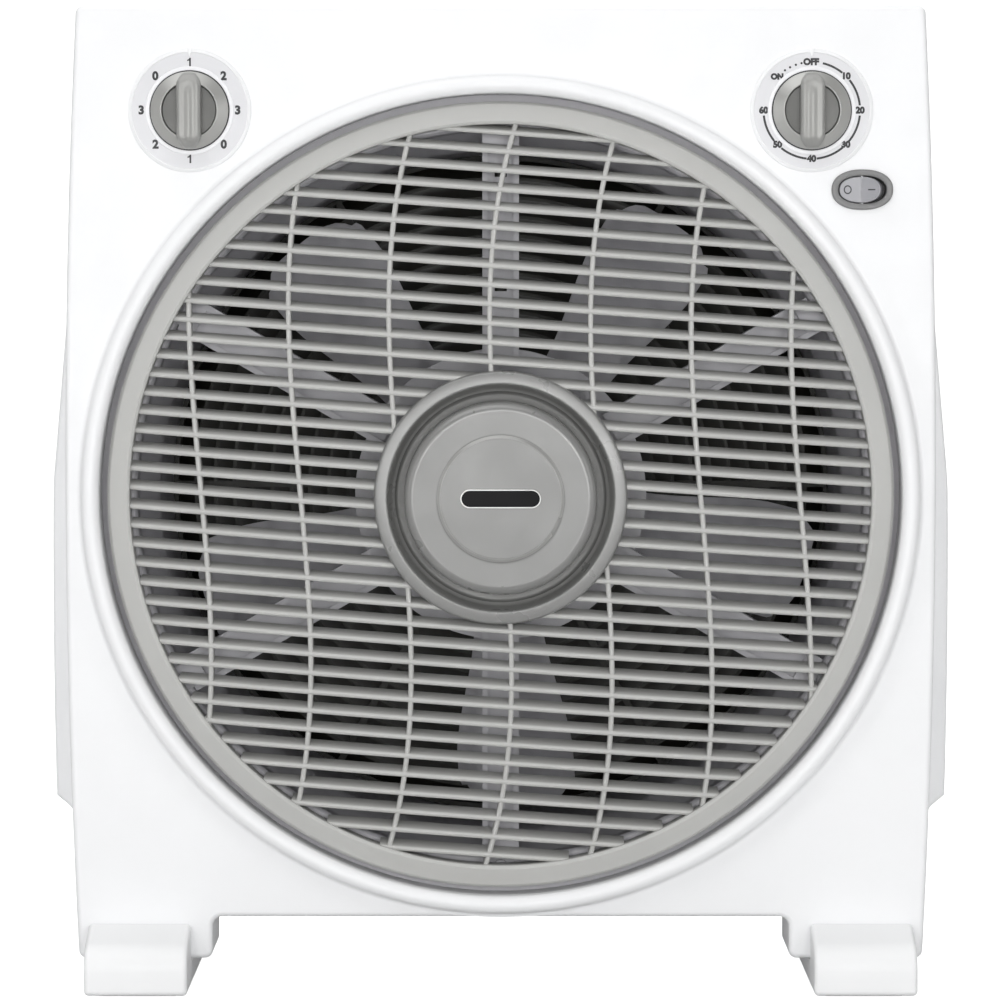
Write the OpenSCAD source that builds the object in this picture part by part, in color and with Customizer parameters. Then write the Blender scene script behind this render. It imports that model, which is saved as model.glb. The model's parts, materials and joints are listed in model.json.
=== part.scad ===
// Box fan with a round louvered grille that turns in front of the blades.
// The front faces -Y and +Z is up. The origin lies on the floor under the middle of the feet.
// Y = 0 is the plane of the fan blades. The fan axis runs along Y at the height fan_z.

/* [Body] */
// Radius of the round opening in the front panel
opening_r = 180.5; // [150:0.5:217]
// Width of the panel beside the opening at its widest place
side_margin = 15.5; // [13:0.5:30]
// Height of the panel above the opening, where the dials are
top_margin = 39.2; // [32:0.1:60]
// Height of the panel below the opening
bottom_margin = 10.1; // [7:0.1:20]
// How far each side of the body bows outwards at mid height
side_bow = 5.7; // [4:0.1:8]
// Distance from the blade plane forward to the panel's face
front_depth = 60; // [57:0.5:72]
// Distance from the blade plane back to the rear face
rear_depth = 62; // [60:0.5:75]
// Distance from the blade plane forward to the joint of the two housings
joint_depth = 12; // [8:0.5:16]
// Thickness of the moulded walls
wall = 2.5; // [2:0.1:3]
// How far the side pods of the rear housing stand out past the body
pod_out = 10.5; // [8:0.5:13]
// Height of the lip around the opening above the panel
lip_h = 8; // [6:0.5:10]
// Width of the lip around the opening
lip_w = 8; // [6:0.5:8]

/* [Stand] */
// Clearance under the body between the legs
belly_z = 33.4; // [32:0.1:45]
// Height of the underside of the legs
leg_z = 14.5; // [14:0.1:19]
// Width of each leg
leg_w = 60; // [56:1:72]
// How much narrower the legs of the rear housing are
leg_step = 8; // [0:0.5:12]
// Width of each foot
foot_w = 46.2; // [38.5:0.1:48]
// Distance of each foot from the outer side of its leg
foot_inset = 4.2; // [0.5:0.1:6]
// How far the feet reach in front of the panel and behind the rear face
foot_reach = 30; // [28:1:40]
// Height of the foot at its outer end
foot_end_h = 22; // [19:0.5:26]
// Height of the foot where it meets the body
foot_top_z = 31.4; // [28:0.1:33]
// Thickness of the rubber pads under the feet
pad_h = 2; // [1.5:0.1:3]

/* [Grille] */
// Gap between the turning rim and the edge of the opening
rim_gap = 3.5; // [2.5:0.1:5]
// Width of the grille's flat rim
rim_w = 10.2; // [8:0.1:13]
// How far the middle of the grille stands out past its rim
dome_h = 16; // [13:0.5:18]
// Distance between slats
slat_pitch = 8.55; // [7.2:0.01:10.2]
// Thickness of a slat
slat_t = 2.2; // [1.8:0.1:2.7]
// Depth of a slat from front to back
slat_depth = 10; // [9:0.1:10.5]
// Angle by which the back of a slat is raised
slat_tilt = 16; // [0:1:18]
// Distance between the curved ribs
rib_pitch = 45.2; // [38:0.1:54]
// Thickness of a curved rib
rib_t = 2.3; // [1.8:0.1:2.8]
// Angle by which the grille stands turned at rest, clockwise from the front
grille_turn = 4.25; // [0:0.05:10]
// Outer radius of the grille's hub flange
flange_r = 56.7; // [54:0.1:66]
// Radius of the fixed cap in the middle
cap_r = 43; // [41:0.1:46]

/* [Fan] */
// Gap between the blade tips and the duct
tip_gap = 8; // [5:0.5:12]
// Number of blades
blade_count = 5; // [3:1:6]
// Pitch of the blades
blade_pitch = 35; // [28:1:38]
// Thickness of a blade
blade_t = 2.2; // [1.8:0.1:3]
// Radius of the blade hub
blade_hub_r = 42; // [35:0.5:50]
// Radius of the motor shaft
shaft_r = 4; // [3.5:0.1:5]
// Radius of the motor's laminated core
core_r = 40; // [36:0.5:44]
// Running clearance of a shaft in its bush
run_gap = 0.04; // [0.02:0.01:0.08]
// Gap between pieces that are fixed one in the other
seat_gap = 0.04; // [0.02:0.01:0.06]

/* [Controls] */
// Distance of the dials from the side of the body
dial_side = 56.7; // [52:0.1:60]
// Distance of the dials below the top of the body
dial_drop = 46.8; // [40:0.1:50]
// Radius of a dial plate
dial_r = 27.2; // [22.7:0.1:28]
// Radius of a knob
knob_r = 17.4; // [16:0.1:20]
// Width of a knob's grip bar
grip_w = 10.8; // [9:0.1:12]
// Half width of the rocker switch's oval frame
rocker_a = 13.8; // [13:0.1:15]
// Half height of the rocker switch's oval frame
rocker_b = 9.1; // [8.6:0.1:10]
// Travel of the rocker from side to side, in degrees
rocker_travel = 24; // [18:1:26]

/* [Hidden] */
$fn = 96;
eps = 0.01;

// Colours
white = [0.93, 0.93, 0.93];
light_grey = [0.78, 0.78, 0.76];
violet_grey = [0.6, 0.6, 0.64];
satin_grey = [0.66, 0.66, 0.65];
charcoal = [0.12, 0.12, 0.11];
zinc = [0.72, 0.73, 0.75];
copper = [0.72, 0.42, 0.25];
black = [0.08, 0.08, 0.08];

// Heights and half widths of the body
fan_z = belly_z + bottom_margin + opening_r;
body_top = fan_z + opening_r + top_margin;
half_w = opening_r + side_margin;
half_h = body_top - fan_z;
bow_r = (half_h * half_h + side_bow * side_bow) / (2 * side_bow);
leg_in = half_w - side_bow - leg_w;

// Planes across the fan, from front to back
face_y = -front_depth;
lip_y = face_y - lip_h;
joint_y = -joint_depth;
back_y = rear_depth;
panel_in_y = face_y + wall;
back_in_y = back_y - wall;

// Duct
flange_y = face_y + 14;
flange_t = 2.5;
duct_flange_r = opening_r + 5;
duct_front_r = opening_r - 16;
duct_r = opening_r - 24.5;
duct_t = 2.2;
bell_start_y = flange_y + 8;
bell_end_y = -20;
duct_end_y = back_in_y;
skirt_t = 2.5;

// Grille
rim_out_r = opening_r - rim_gap;
rim_in_r = rim_out_r - rim_w;
rim_front_y = face_y - 4;
rim_back_y = face_y + 8;
rim_skirt_t = 3;
dome_edge_y = face_y - 1;
dome_r = (rim_in_r * rim_in_r + dome_h * dome_h) / (2 * dome_h);
dome_centre_y = dome_edge_y - dome_h + dome_r;
slat_n = floor((rim_in_r - slat_pitch / 3) / slat_pitch);
rib_n = floor((rim_in_r - rib_pitch / 3) / rib_pitch);
hub_front_y = dome_edge_y - dome_h - 1.5;
hub_floor_y = hub_front_y + 12;
hub_floor_t = 2;
flange_in_r = flange_r - 5.9;

// Fixed centre of the grille
plate_y = face_y + 17;
plate_t = 3;
plate_r = 66;
tube_r = 30.5;
tube_t = 3;
tube_front_y = hub_floor_y - 4;
sleeve_t = 2.6;
sleeve_r = tube_r + 0.06;
sleeve_back_y = plate_y - 9;
gear_module = 1;
ring_teeth = 72;
pinion_teeth = 12;
ring_pitch_r = gear_module * ring_teeth / 2;
pinion_pitch_r = gear_module * pinion_teeth / 2;
gear_y0 = sleeve_back_y + 2;
gear_y1 = plate_y - 1;
ring_root_r = ring_pitch_r + 1.25;
ring_out_r = ring_root_r + 3;
pinion_z = pinion_pitch_r - ring_pitch_r;
grille_motor_r = 24.5;
grille_motor_t = 15;
grille_motor_z = pinion_z + 12;
cap_back_y = hub_floor_y - 2.5;
cap_edge_y = hub_front_y - 1;
cap_front_y = hub_front_y - 7;
badge_w = 36;
badge_h = 8.4;
badge_t = 0.8;

// Spider arms
arm_count = 6;
arm_w = 16.5;
arm_t = 2.6;
arm_depth = 8;
arm_front_y = flange_y;
tab_t = 2.4;
tab_r = duct_front_r + 7.5;
spider_screw_r = duct_front_r + 4.5;
clip_hole = 5.5;

// Blades and motor
blade_r = duct_r - tip_gap;
blade_phase = 58;
camber_r = 75;
hub_y0 = -16;
hub_y1 = 14;
hub_wall = 3;
boss_r = 9;
core_y0 = 24;
core_y1 = 42;
bell_t = 2;
bell_r = core_r + bell_t;
motor_y0 = 12;
motor_y1 = back_y - 10;
bush_r = 7;
bush_len = 9;
bolt_ring_r = core_r - 5;
rotor_r = 20;
shaft_front_y = hub_y0 - 4;
guard_plate_y = motor_y1;
guard_plate_t = 3;
guard_y1 = back_y + 3;
guard_flange_t = 2.5;
guard_screw_r = duct_r + 8;
guard_flange_r = duct_r + 13;
louvre_pitch = 9;
louvre_t = 1.5;
louvre_in_r = 54;
cover_r = 52;

// Controls
dial_x = half_w - dial_side;
dial_z = body_top - dial_drop;
dial_t = 1.6;
dial_face_y = face_y - 1;
knob_back_y = dial_face_y - 0.4;
knob_rim_y = knob_back_y - 4.5;
knob_floor_y = knob_back_y - 2.6;
knob_front_y = knob_back_y - 9.5;
knob_shaft_r = 3;
bushing_r = 4.5;
nut_t = 2;
nut_r = 6.5;
rocker_x = dial_x + 22.8;
rocker_z = dial_z - 35.4;
rocker_ring = 3;
rocker_gap = 0.35;
pivot_y = face_y + 3;
rocker_pin_r = 1;
pin_half = rocker_b - 2.1;

// Pods on the sides of the rear housing
pod_bottom_z = 81;
pod_top_z = fan_z + 156;
pod_centre_z = fan_z - 47;
pod_bow_r = 3880;
pod_back_y = back_y - 14;

// Carry handle recess in the top of the back
handle_half = 58;
handle_z0 = body_top - 43;
handle_z1 = body_top - 13;
handle_depth = 30;

// Stand
foot_x = half_w - side_bow - foot_inset - foot_w / 2;
foot_front_y = face_y - foot_reach;
foot_back_y = back_y + foot_reach - 2;
foot_corner_r = 8;
leg_gap = 0.3;
foot_screw_ys = [face_y + 26, back_y - 24];

// Screws
screw_r = 1.5;
pilot_r = 1.55;
hole_r = 1.9;
head_r = 3.2;
head_h = 2.2;
screw_post_r = 5.2;
housing_screw_x = half_w - 17;
housing_screw_zs = [belly_z + 26, body_top - 19];
duct_screw_r = duct_flange_r + 3;
duct_screw_angles = [38, 142, 218, 322];

gland_x = -(half_w - 48);
gland_z = belly_z + 28;
cord_r = 3.6;
loom_r = 2.5;

// ---- Helpers ----

// A flat shape drawn in X and Z, thickened from y0 to y1
module along_y(y0, y1) {
    translate([0, y1, 0]) rotate([90, 0, 0]) linear_extrude(y1 - y0) children();
}

// A round bar along Y
module rod_y(r, y0, y1) {
    translate([0, y1, 0]) rotate([90, 0, 0]) cylinder(r = r, h = y1 - y0);
}

// A round tube along Y
module tube_y(r_out, r_in, y0, y1) {
    difference() {
        rod_y(r_out, y0, y1);
        rod_y(r_in, y0 - 1, y1 + 1);
    }
}

// A ring about the Y axis from an outline given as radius and y
module turned(outline) {
    rotate([90, 0, 0]) rotate_extrude($fn = 180) polygon([for (p = outline) [p[0], -p[1]]]);
}

// Children repeated at a radius, at each of the angles, seen from the front
module around(radius, angles) {
    for (a = angles) translate([radius * cos(a), 0, radius * sin(a)]) children();
}

module at_fan() { translate([0, 0, fan_z]) children(); }
module at_speed() { translate([-dial_x, 0, dial_z]) children(); }
module at_timer() { translate([dial_x, 0, dial_z]) children(); }
module at_rocker() { translate([rocker_x, 0, rocker_z]) children(); }

// Both sides of the object
module both_sides() { for (s = [0, 1]) mirror([s, 0, 0]) children(); }

// A screw along Y. Its head lies from y_head towards away (1 is back, -1 is front).
module screw_y(y_head, length, away) {
    if (away > 0) {
        rod_y(head_r, y_head, y_head + head_h);
        rod_y(screw_r, y_head - length, y_head + eps);
    } else {
        rod_y(head_r, y_head - head_h, y_head);
        rod_y(screw_r, y_head - eps, y_head + length);
    }
}

// An oval of four arcs with half width a and half height b
module oval(a, b) {
    end_r = b * 0.66;
    c = a - end_r;
    k = (c * c - (b - end_r) * (b - end_r)) / (2 * (b - end_r));
    big_r = b + k;
    tangent_x = c * big_r / (big_r - end_r);
    for (s = [-1, 1]) translate([s * c, 0]) circle(end_r);
    intersection() {
        translate([0, -k]) circle(big_r, $fn = 180);
        translate([0, k]) circle(big_r, $fn = 180);
        square([2 * tangent_x, 4 * b], center = true);
    }
}

// A bar with round ends, with half width a and half height b
module pill(a, b) {
    square([2 * (a - b), 2 * b], center = true);
    for (s = [-1, 1]) translate([s * (a - b), 0]) circle(b);
}

// ---- Housings ----

// Front view of the body, drawn smaller by inset, with legs that are narrower by step
module body_outline(inset, step) {
    between = leg_in + step + inset;
    difference() {
        intersection() {
            translate([-half_w, leg_z + inset]) square([2 * half_w, body_top - leg_z - 2 * inset]);
            translate([half_w - bow_r, fan_z]) circle(bow_r - inset, $fn = 720);
            translate([bow_r - half_w, fan_z]) circle(bow_r - inset, $fn = 720);
        }
        translate([-between, 0]) square([2 * between, belly_z + inset]);
    }
}

// Front view of one side pod, drawn smaller by inset
module pod_outline(inset) {
    intersection() {
        translate([half_w + pod_out - pod_bow_r, pod_centre_z]) circle(pod_bow_r - inset, $fn = 720);
        polygon([
            [half_w - 14, pod_bottom_z - 24 + inset],
            [half_w + pod_out - 7, pod_bottom_z - 3 + inset],
            [half_w + pod_out + 3, pod_bottom_z + 5 + inset],
            [half_w + pod_out + 3, fan_z],
            [half_w - 3, pod_top_z - inset],
            [half_w - 14, pod_top_z - inset]
        ]);
    }
}

module housing_screw_places() {
    both_sides() for (z = housing_screw_zs) translate([housing_screw_x, 0, z]) children();
}

module foot_screw_places(ys) {
    both_sides() for (y = ys) translate([foot_x, y, 0]) children();
}

// Round rod standing up from z0 to z1
module rod_z(r, z0, z1) { translate([0, 0, z0]) cylinder(r = r, h = z1 - z0); }

module lip() {
    c = lip_w / 2;
    turned([
        [opening_r, face_y + wall], [opening_r, lip_y + c],
        for (a = [180:-15:0]) [opening_r + c + c * cos(a), lip_y + c - c * sin(a)],
        [opening_r + lip_w, face_y + wall]
    ]);
}

module front_housing() {
    color(white) difference() {
        union() {
            difference() {
                along_y(face_y, joint_y) body_outline(0, 0);
                along_y(panel_in_y, joint_y + 1) body_outline(wall, 0);
            }
            at_fan() {
                lip();
                tube_y(opening_r + skirt_t, opening_r, face_y, flange_y);
                around(duct_screw_r, duct_screw_angles) rod_y(screw_post_r - 0.7, panel_in_y - 1, flange_y);
            }
            housing_screw_places() rod_y(screw_post_r, panel_in_y - 1, joint_y);
            foot_screw_places([foot_screw_ys[0]]) rod_z(screw_post_r, leg_z + wall - 1, leg_z + 18);
        }
        at_fan() {
            rod_y(opening_r, lip_y - 1, flange_y + 1);
            around(duct_screw_r, duct_screw_angles) rod_y(pilot_r, panel_in_y, flange_y + 1);
        }
        housing_screw_places() rod_y(pilot_r, panel_in_y + 4, joint_y + 1);
        foot_screw_places([foot_screw_ys[0]]) rod_z(pilot_r, leg_z - 1, leg_z + 16);
        at_speed() control_hole();
        at_timer() control_hole();
        at_rocker() along_y(face_y - 1, panel_in_y + 1) pill(rocker_a - 2, rocker_b - 2);
    }
}

// Hole in the panel for a dial plate and a threaded bushing
module control_hole() {
    rod_y(dial_r + 0.1, face_y - 1, dial_face_y + dial_t);
    rod_y(bushing_r + 0.2, face_y - 1, panel_in_y + 1);
}

module rear_outer(inset) {
    along_y(joint_y, back_y - inset) body_outline(inset, leg_step);
    both_sides() along_y(joint_y, pod_back_y - inset) pod_outline(inset);
}

module rear_housing() {
    post_y = joint_y + 7;
    color(white) difference() {
        union() {
            difference() {
                rear_outer(0);
                rear_inner();
            }
            housing_screw_places() rod_y(screw_post_r + 0.8, joint_y, back_in_y + 1);
            handle_box(wall, -1);
            at_fan() guard_screw_places() rod_y(4, back_in_y - 8, back_in_y + 1);
            foot_screw_places([foot_screw_ys[1]]) rod_z(screw_post_r, leg_z + wall - 1, leg_z + 18);
        }
        housing_screw_places() {
            rod_y(head_r + 0.5, post_y, back_y + 1);
            rod_y(hole_r, joint_y - 1, post_y + 1);
        }
        handle_box(0, 1);
        at_fan() {
            rod_y(duct_r, back_in_y - 1, back_y + 1);
            guard_screw_places() rod_y(pilot_r, back_in_y - 7, back_y + 1);
        }
        foot_screw_places([foot_screw_ys[1]]) rod_z(pilot_r, leg_z - 1, leg_z + 16);
        translate([gland_x, 0, gland_z]) rod_y(cord_r + 2, back_in_y - 1, back_y + 1);
    }
}

// Room inside the rear housing
module rear_inner() {
    along_y(joint_y - 1, back_in_y) body_outline(wall, leg_step);
    both_sides() along_y(joint_y + wall, pod_back_y - wall) pod_outline(wall);
}

// The carry handle's recess, larger by grow on its closed sides and ending past the rear face
module handle_box(grow, past) {
    translate([-handle_half - grow, back_y - handle_depth - grow, handle_z0 - grow])
        cube([2 * (handle_half + grow), handle_depth + grow + past, handle_z1 - handle_z0 + 2 * grow]);
}

module guard_screw_places() { around(guard_screw_r, [30:60:330]) children(); }

module air_duct() {
    color(violet_grey) at_fan() difference() {
        union() {
            turned([
                [duct_front_r, flange_y], [duct_flange_r, flange_y],
                [duct_flange_r, flange_y + flange_t], [duct_front_r + duct_t, flange_y + flange_t],
                [duct_front_r + duct_t, bell_start_y], [duct_r + duct_t, bell_end_y],
                [duct_r + duct_t, duct_end_y], [duct_r, duct_end_y],
                [duct_r, bell_end_y], [duct_front_r, bell_start_y]
            ]);
            around(duct_screw_r, duct_screw_angles) rod_y(screw_post_r, flange_y, flange_y + flange_t);
            around(spider_screw_r, spider_angles()) rod_y(3, flange_y + 1, flange_y + 9);
        }
        around(duct_screw_r, duct_screw_angles) rod_y(hole_r, flange_y - 1, flange_y + flange_t + 1);
        around(spider_screw_r, spider_angles()) rod_y(pilot_r, flange_y - 1, flange_y + 8);
        rod_y(duct_front_r, flange_y - 1, bell_start_y);
    }
}

// ---- Fixed centre support ----

function spider_angles() = [for (i = [0:arm_count - 1]) 90 + i * 360 / arm_count];

// One arm of the spider pointing up: an open channel with two flanges and an end tab
module spider_arm(length) {
    translate([-arm_w / 2, arm_front_y, plate_r - 8])
        cube([arm_w, arm_t, length - plate_r + 8]);
    for (s = [-1, 1]) translate([s * (arm_w / 2 - 1.3) - 1.3, arm_front_y - 2, plate_r - 8])
        cube([2.6, arm_depth + 2, length - plate_r + 7.6]);
}

module front_spider() {
    color(violet_grey) at_fan() difference() {
        union() {
            rod_y(plate_r, plate_y, plate_y + plate_t);
            tube_y(plate_r, plate_r - 3, plate_y, plate_y + 9);
            for (a = spider_angles()) rotate([0, 90 - a, 0]) {
                spider_arm(duct_front_r - 0.3);
                translate([-6, flange_y - tab_t, duct_front_r - 8])
                    cube([12, tab_t, tab_r - duct_front_r + 8]);
            }
            tube_y(tube_r, tube_r - tube_t, tube_front_y, plate_y + 1);
            rod_y(5, plate_y, plate_y + plate_t);
        }
        around(spider_screw_r, spider_angles()) rod_y(hole_r, flange_y - tab_t - 1, flange_y + 1);
        // Window for the pinion and hole for its shaft
        translate([0, 0, pinion_z]) {
            rod_y(pinion_pitch_r + 2.4, gear_y0 - 1.5, plate_y);
            rod_y(2.6, plate_y - 1, plate_y + plate_t + 1);
        }
        translate([0, 0, grille_motor_z]) grille_motor_ears() rod_y(pilot_r, plate_y - 1, plate_y + 12);
        // Clip holes in the top arm
        for (r = [92, duct_front_r - 21]) translate([-clip_hole / 2, arm_front_y - 1, r])
            cube([clip_hole, arm_t + 2, clip_hole]);
    }
}

module spider_screws() {
    color(zinc) at_fan() around(spider_screw_r, spider_angles()) screw_y(flange_y - tab_t, 9, -1);
}

// ---- Turning grille ----

// Sideways offset of a rib at the height w above the centre
function rib_x(w) = let(t = w / rim_in_r) -27.7 * t + 22 * t * t * t;

module rib_outline(x0) {
    steps = 14;
    ws = [for (i = [0:steps]) rim_in_r * (2 * i / steps - 1) * 1.004];
    polygon(concat(
        [for (w = ws) [x0 + rib_x(w) - rib_t / 2, w]],
        [for (i = [steps:-1:0]) [x0 + rib_x(ws[i]) + rib_t / 2, ws[i]]]
    ));
}

// The domed layer that the slats and ribs fill, from a front depth to a back depth behind the dome
module dome_layer(front, back) {
    intersection() {
        rod_y(rim_in_r + 1, dome_edge_y - dome_h - 5, dome_edge_y + slat_depth + 4);
        difference() {
            translate([0, dome_centre_y + front, 0]) sphere(dome_r, $fn = 720);
            translate([0, dome_centre_y + back, 0]) sphere(dome_r, $fn = 720);
        }
    }
}

module slats() {
    long = 2 * rim_in_r;
    for (n = [-slat_n:slat_n]) {
        w = n * slat_pitch;
        // Each slat is raised towards the back about its front edge at this height
        y_front = dome_edge_y - dome_h * (1 - w * w / (rim_in_r * rim_in_r));
        translate([0, y_front, w]) rotate([slat_tilt, 0, 0])
            translate([-long / 2, -dome_h - 6, -slat_t / 2]) cube([long, 2 * dome_h + 22, slat_t]);
    }
}

module ribs() {
    for (n = [-rib_n:rib_n]) along_y(dome_edge_y - dome_h - 4, dome_edge_y + slat_depth + 2)
        rib_outline(n * rib_pitch);
}

module ring_gear() {
    tube_y(ring_out_r, ring_root_r, gear_y0 - eps, gear_y1);
    for (i = [0:ring_teeth - 1]) rotate([0, i * 360 / ring_teeth, 0])
        along_y(gear_y0, gear_y1) polygon([
            [-0.95, ring_root_r + 0.5], [0.95, ring_root_r + 0.5],
            [0.32, ring_pitch_r - 0.9], [-0.32, ring_pitch_r - 0.9]
        ]);
    tube_y(ring_out_r, sleeve_r, sleeve_back_y - 0.5, gear_y0);
}

module louver_grille() {
    color(light_grey) at_fan() {
        rotate([0, grille_turn, 0]) intersection() {
            dome_layer(0, slat_depth);
            difference() {
                union() { slats(); ribs(); }
                rod_y(flange_in_r + 1, face_y - 40, 0);
            }
        }
        turned([
            [rim_in_r, rim_front_y + 2], [rim_in_r + 1.5, rim_front_y], [rim_out_r - 2, rim_front_y],
            [rim_out_r, rim_front_y + 2], [rim_out_r, rim_back_y], [rim_out_r - rim_skirt_t, rim_back_y],
            [rim_out_r - rim_skirt_t, rim_front_y + 4], [rim_in_r + 2.5, rim_front_y + 4],
            [rim_in_r + 2.5, rim_back_y], [rim_in_r, rim_back_y]
        ]);
        turned([
            [flange_in_r, hub_front_y], [flange_r - 1, hub_front_y], [flange_r, hub_front_y + 1],
            [flange_r, hub_floor_y + hub_floor_t], [sleeve_r + sleeve_t, hub_floor_y + hub_floor_t],
            [sleeve_r + sleeve_t, sleeve_back_y - eps], [sleeve_r, sleeve_back_y - eps],
            [sleeve_r, hub_floor_y], [flange_in_r, hub_floor_y]
        ]);
        ring_gear();
    }
}

module thrust_washer() {
    color(black) at_fan() tube_y(ring_out_r, ring_root_r + 0.3, plate_y - 0.8, plate_y);
}

module retaining_washer() {
    color(zinc) at_fan() tube_y(tube_r + 4, tube_r + seat_gap, hub_floor_y - 1.5, hub_floor_y - 0.3);
}

module hub_cap() {
    color(satin_grey) at_fan() {
        turned([
            [tube_r - tube_t - 2, cap_edge_y + 2], [cap_r - 2, cap_edge_y + 2], [cap_r - 2, cap_back_y],
            [cap_r, cap_back_y], [cap_r, cap_edge_y], [cap_r - 1, cap_edge_y - 2.2],
            [cap_r - 4, cap_edge_y - 4.4], [29, cap_front_y], [28.5, cap_front_y + 0.5],
            [0, cap_front_y + 0.5], [0, cap_front_y + 3], [27, cap_front_y + 3], [27, cap_edge_y + 2]
        ]);
        tube_y(tube_r, tube_r - 4, cap_edge_y, tube_front_y);
    }
}

module hub_badge() {
    color(zinc) at_fan() along_y(cap_front_y + 0.5 - badge_t, cap_front_y + 0.5)
        pill(badge_w / 2, badge_h / 2);
}

// The two ears of the grille motor
module grille_motor_ears() { for (s = [-1, 1]) translate([s * 30, 0, 0]) children(); }

module grille_motor() {
    y0 = plate_y + plate_t;
    color(zinc) at_fan() translate([0, 0, grille_motor_z]) difference() {
        union() {
            rod_y(grille_motor_r, y0, y0 + grille_motor_t);
            translate([-35, y0, -4]) cube([70, 1.2, 8]);
        }
        grille_motor_ears() rod_y(hole_r, y0 - 1, y0 + 4);
        translate([0, 0, pinion_z - grille_motor_z]) rod_y(1.5 + run_gap, y0 - 1, y0 + 8);
    }
}

module grille_motor_screws() {
    color(zinc) at_fan() translate([0, 0, grille_motor_z])
        grille_motor_ears() screw_y(plate_y + plate_t + 1.2, 3.5, 1);
}

module grille_motor_shaft() {
    color(zinc) at_fan() translate([0, 0, pinion_z]) rod_y(1.5, gear_y0 + 0.3, plate_y + plate_t + 7);
}

module drive_pinion() {
    root_r = pinion_pitch_r - 1.3;
    color(white) at_fan() translate([0, 0, pinion_z]) difference() {
        union() {
            rod_y(root_r, gear_y0 + 0.4, gear_y1 - 0.2);
            for (i = [0:pinion_teeth - 1]) rotate([0, (i + 0.5) * 360 / pinion_teeth, 0])
                along_y(gear_y0 + 0.4, gear_y1 - 0.2) polygon([
                    [-0.95, root_r - 0.3], [0.95, root_r - 0.3],
                    [0.3, pinion_pitch_r + 0.9], [-0.3, pinion_pitch_r + 0.9]
                ]);
        }
        rod_y(1.5, gear_y0, gear_y1 + 1);
    }
}

// ---- Fan and motor ----

// Projected outline of one blade pointing up
module blade_plan() {
    polygon([
        [-10, blade_hub_r - 2], [-15, blade_hub_r + 24], [-25, blade_r - 28], [-25, blade_r - 13],
        [-17, blade_r + 2], [17, blade_r + 2], [29, blade_r - 12], [29, blade_r - 26],
        [17, blade_hub_r + 24], [11, blade_hub_r - 2]
    ]);
}

module blade() {
    chord_half = 27 / cos(blade_pitch);
    centre = sqrt(camber_r * camber_r - chord_half * chord_half);
    intersection() {
        along_y(-24, 24) intersection() {
            blade_plan();
            circle(blade_r, $fn = 180);
        }
        translate([centre * sin(blade_pitch), -centre * cos(blade_pitch), 0]) difference() {
            cylinder(r = camber_r + blade_t / 2, h = blade_r + 5, $fn = 180);
            translate([0, 0, -1]) cylinder(r = camber_r - blade_t / 2, h = blade_r + 7, $fn = 180);
        }
    }
}

module fan_blade() {
    color(violet_grey) at_fan() difference() {
        union() {
            turned([
                [0, hub_y0], [blade_hub_r - 8, hub_y0], [blade_hub_r - 2, hub_y0 + 3],
                [blade_hub_r, hub_y0 + 9], [blade_hub_r, hub_y1], [blade_hub_r - hub_wall, hub_y1],
                [blade_hub_r - hub_wall, hub_y0 + 9], [blade_hub_r - 9, hub_y0 + hub_wall],
                [0, hub_y0 + hub_wall]
            ]);
            rod_y(boss_r, hub_y0 + 1, 6);
            for (i = [0:blade_count - 1]) rotate([0, 90 - blade_phase - i * 360 / blade_count, 0]) blade();
        }
        rod_y(shaft_r + seat_gap, hub_y0 - 1, 7);
        tube_y(blade_hub_r - hub_wall, boss_r, hub_y0 + 8, hub_y1 + 8);
        // Slot that takes the drive pin
        translate([-boss_r + 1, 3, -1.1]) cube([2 * boss_r - 2, 4, 2.2]);
    }
}

module blade_nut() {
    color(violet_grey) at_fan() difference() {
        union() {
            rod_y(11, hub_y0 - 3, hub_y0);
            rotate([90, 0, 0]) translate([0, 0, -hub_y0]) cylinder(r = 8, h = 6, $fn = 6);
        }
        rod_y(shaft_r + seat_gap, shaft_front_y, hub_y0 + 1);
    }
}

// A cross pin through the motor shaft
module cross_pin(r, length) {
    translate([0, 5, 0]) rotate([0, 90, 0]) cylinder(r = r, h = length, center = true, $fn = 32);
}

module drive_pin() { color(zinc) at_fan() cross_pin(1, 2 * boss_r - 3); }

module motor_shaft() {
    color(zinc) at_fan() difference() {
        rod_y(shaft_r, shaft_front_y, motor_y1 - 3);
        cross_pin(1.02, 2 * boss_r);
    }
}

module rotor_core() {
    color(zinc) at_fan() {
        tube_y(rotor_r, shaft_r + seat_gap, core_y0, core_y1);
        tube_y(rotor_r - 2, shaft_r + 4, core_y0 - 4, core_y0 + eps);
        tube_y(rotor_r - 2, shaft_r + 4, core_y1 - eps, core_y1 + 3);
    }
}

module stator_core() {
    color(zinc) at_fan() difference() {
        tube_y(core_r - seat_gap, rotor_r + 0.4, core_y0, core_y1);
        for (i = [0:15]) rotate([0, i * 22.5, 0]) translate([-1.6, core_y0 - 1, rotor_r + 2])
            cube([3.2, core_y1 - core_y0 + 2, 9]);
        motor_bolt_places() rod_y(hole_r, core_y0 - 1, core_y1 + 1);
    }
}

module stator_windings() {
    color(copper) at_fan() {
        tube_y(rotor_r + 10.5, rotor_r + 2.5, core_y0 - 6, core_y0);
        tube_y(rotor_r + 10.5, rotor_r + 2.5, core_y1, core_y1 + 4);
        for (i = [0:15]) rotate([0, i * 22.5, 0]) translate([-1.3, core_y0, rotor_r + 2.5])
            cube([2.6, core_y1 - core_y0, 8]);
    }
}

module motor_bolt_places() { around(bolt_ring_r, [45:90:315]) children(); }

// A cup of the motor case from its closed end at y_end to its open end at y_open
module motor_bell(y_end, y_open) {
    s = y_open > y_end ? 1 : -1;
    lo = min(y_end, y_open);
    hi = max(y_end, y_open);
    difference() {
        rod_y(bell_r, lo, hi);
        rod_y(core_r, min(y_end + s * bell_t, y_open + s), max(y_end + s * bell_t, y_open + s));
        motor_bolt_places() rod_y(hole_r, lo - 1, hi + 1);
    }
}

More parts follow.
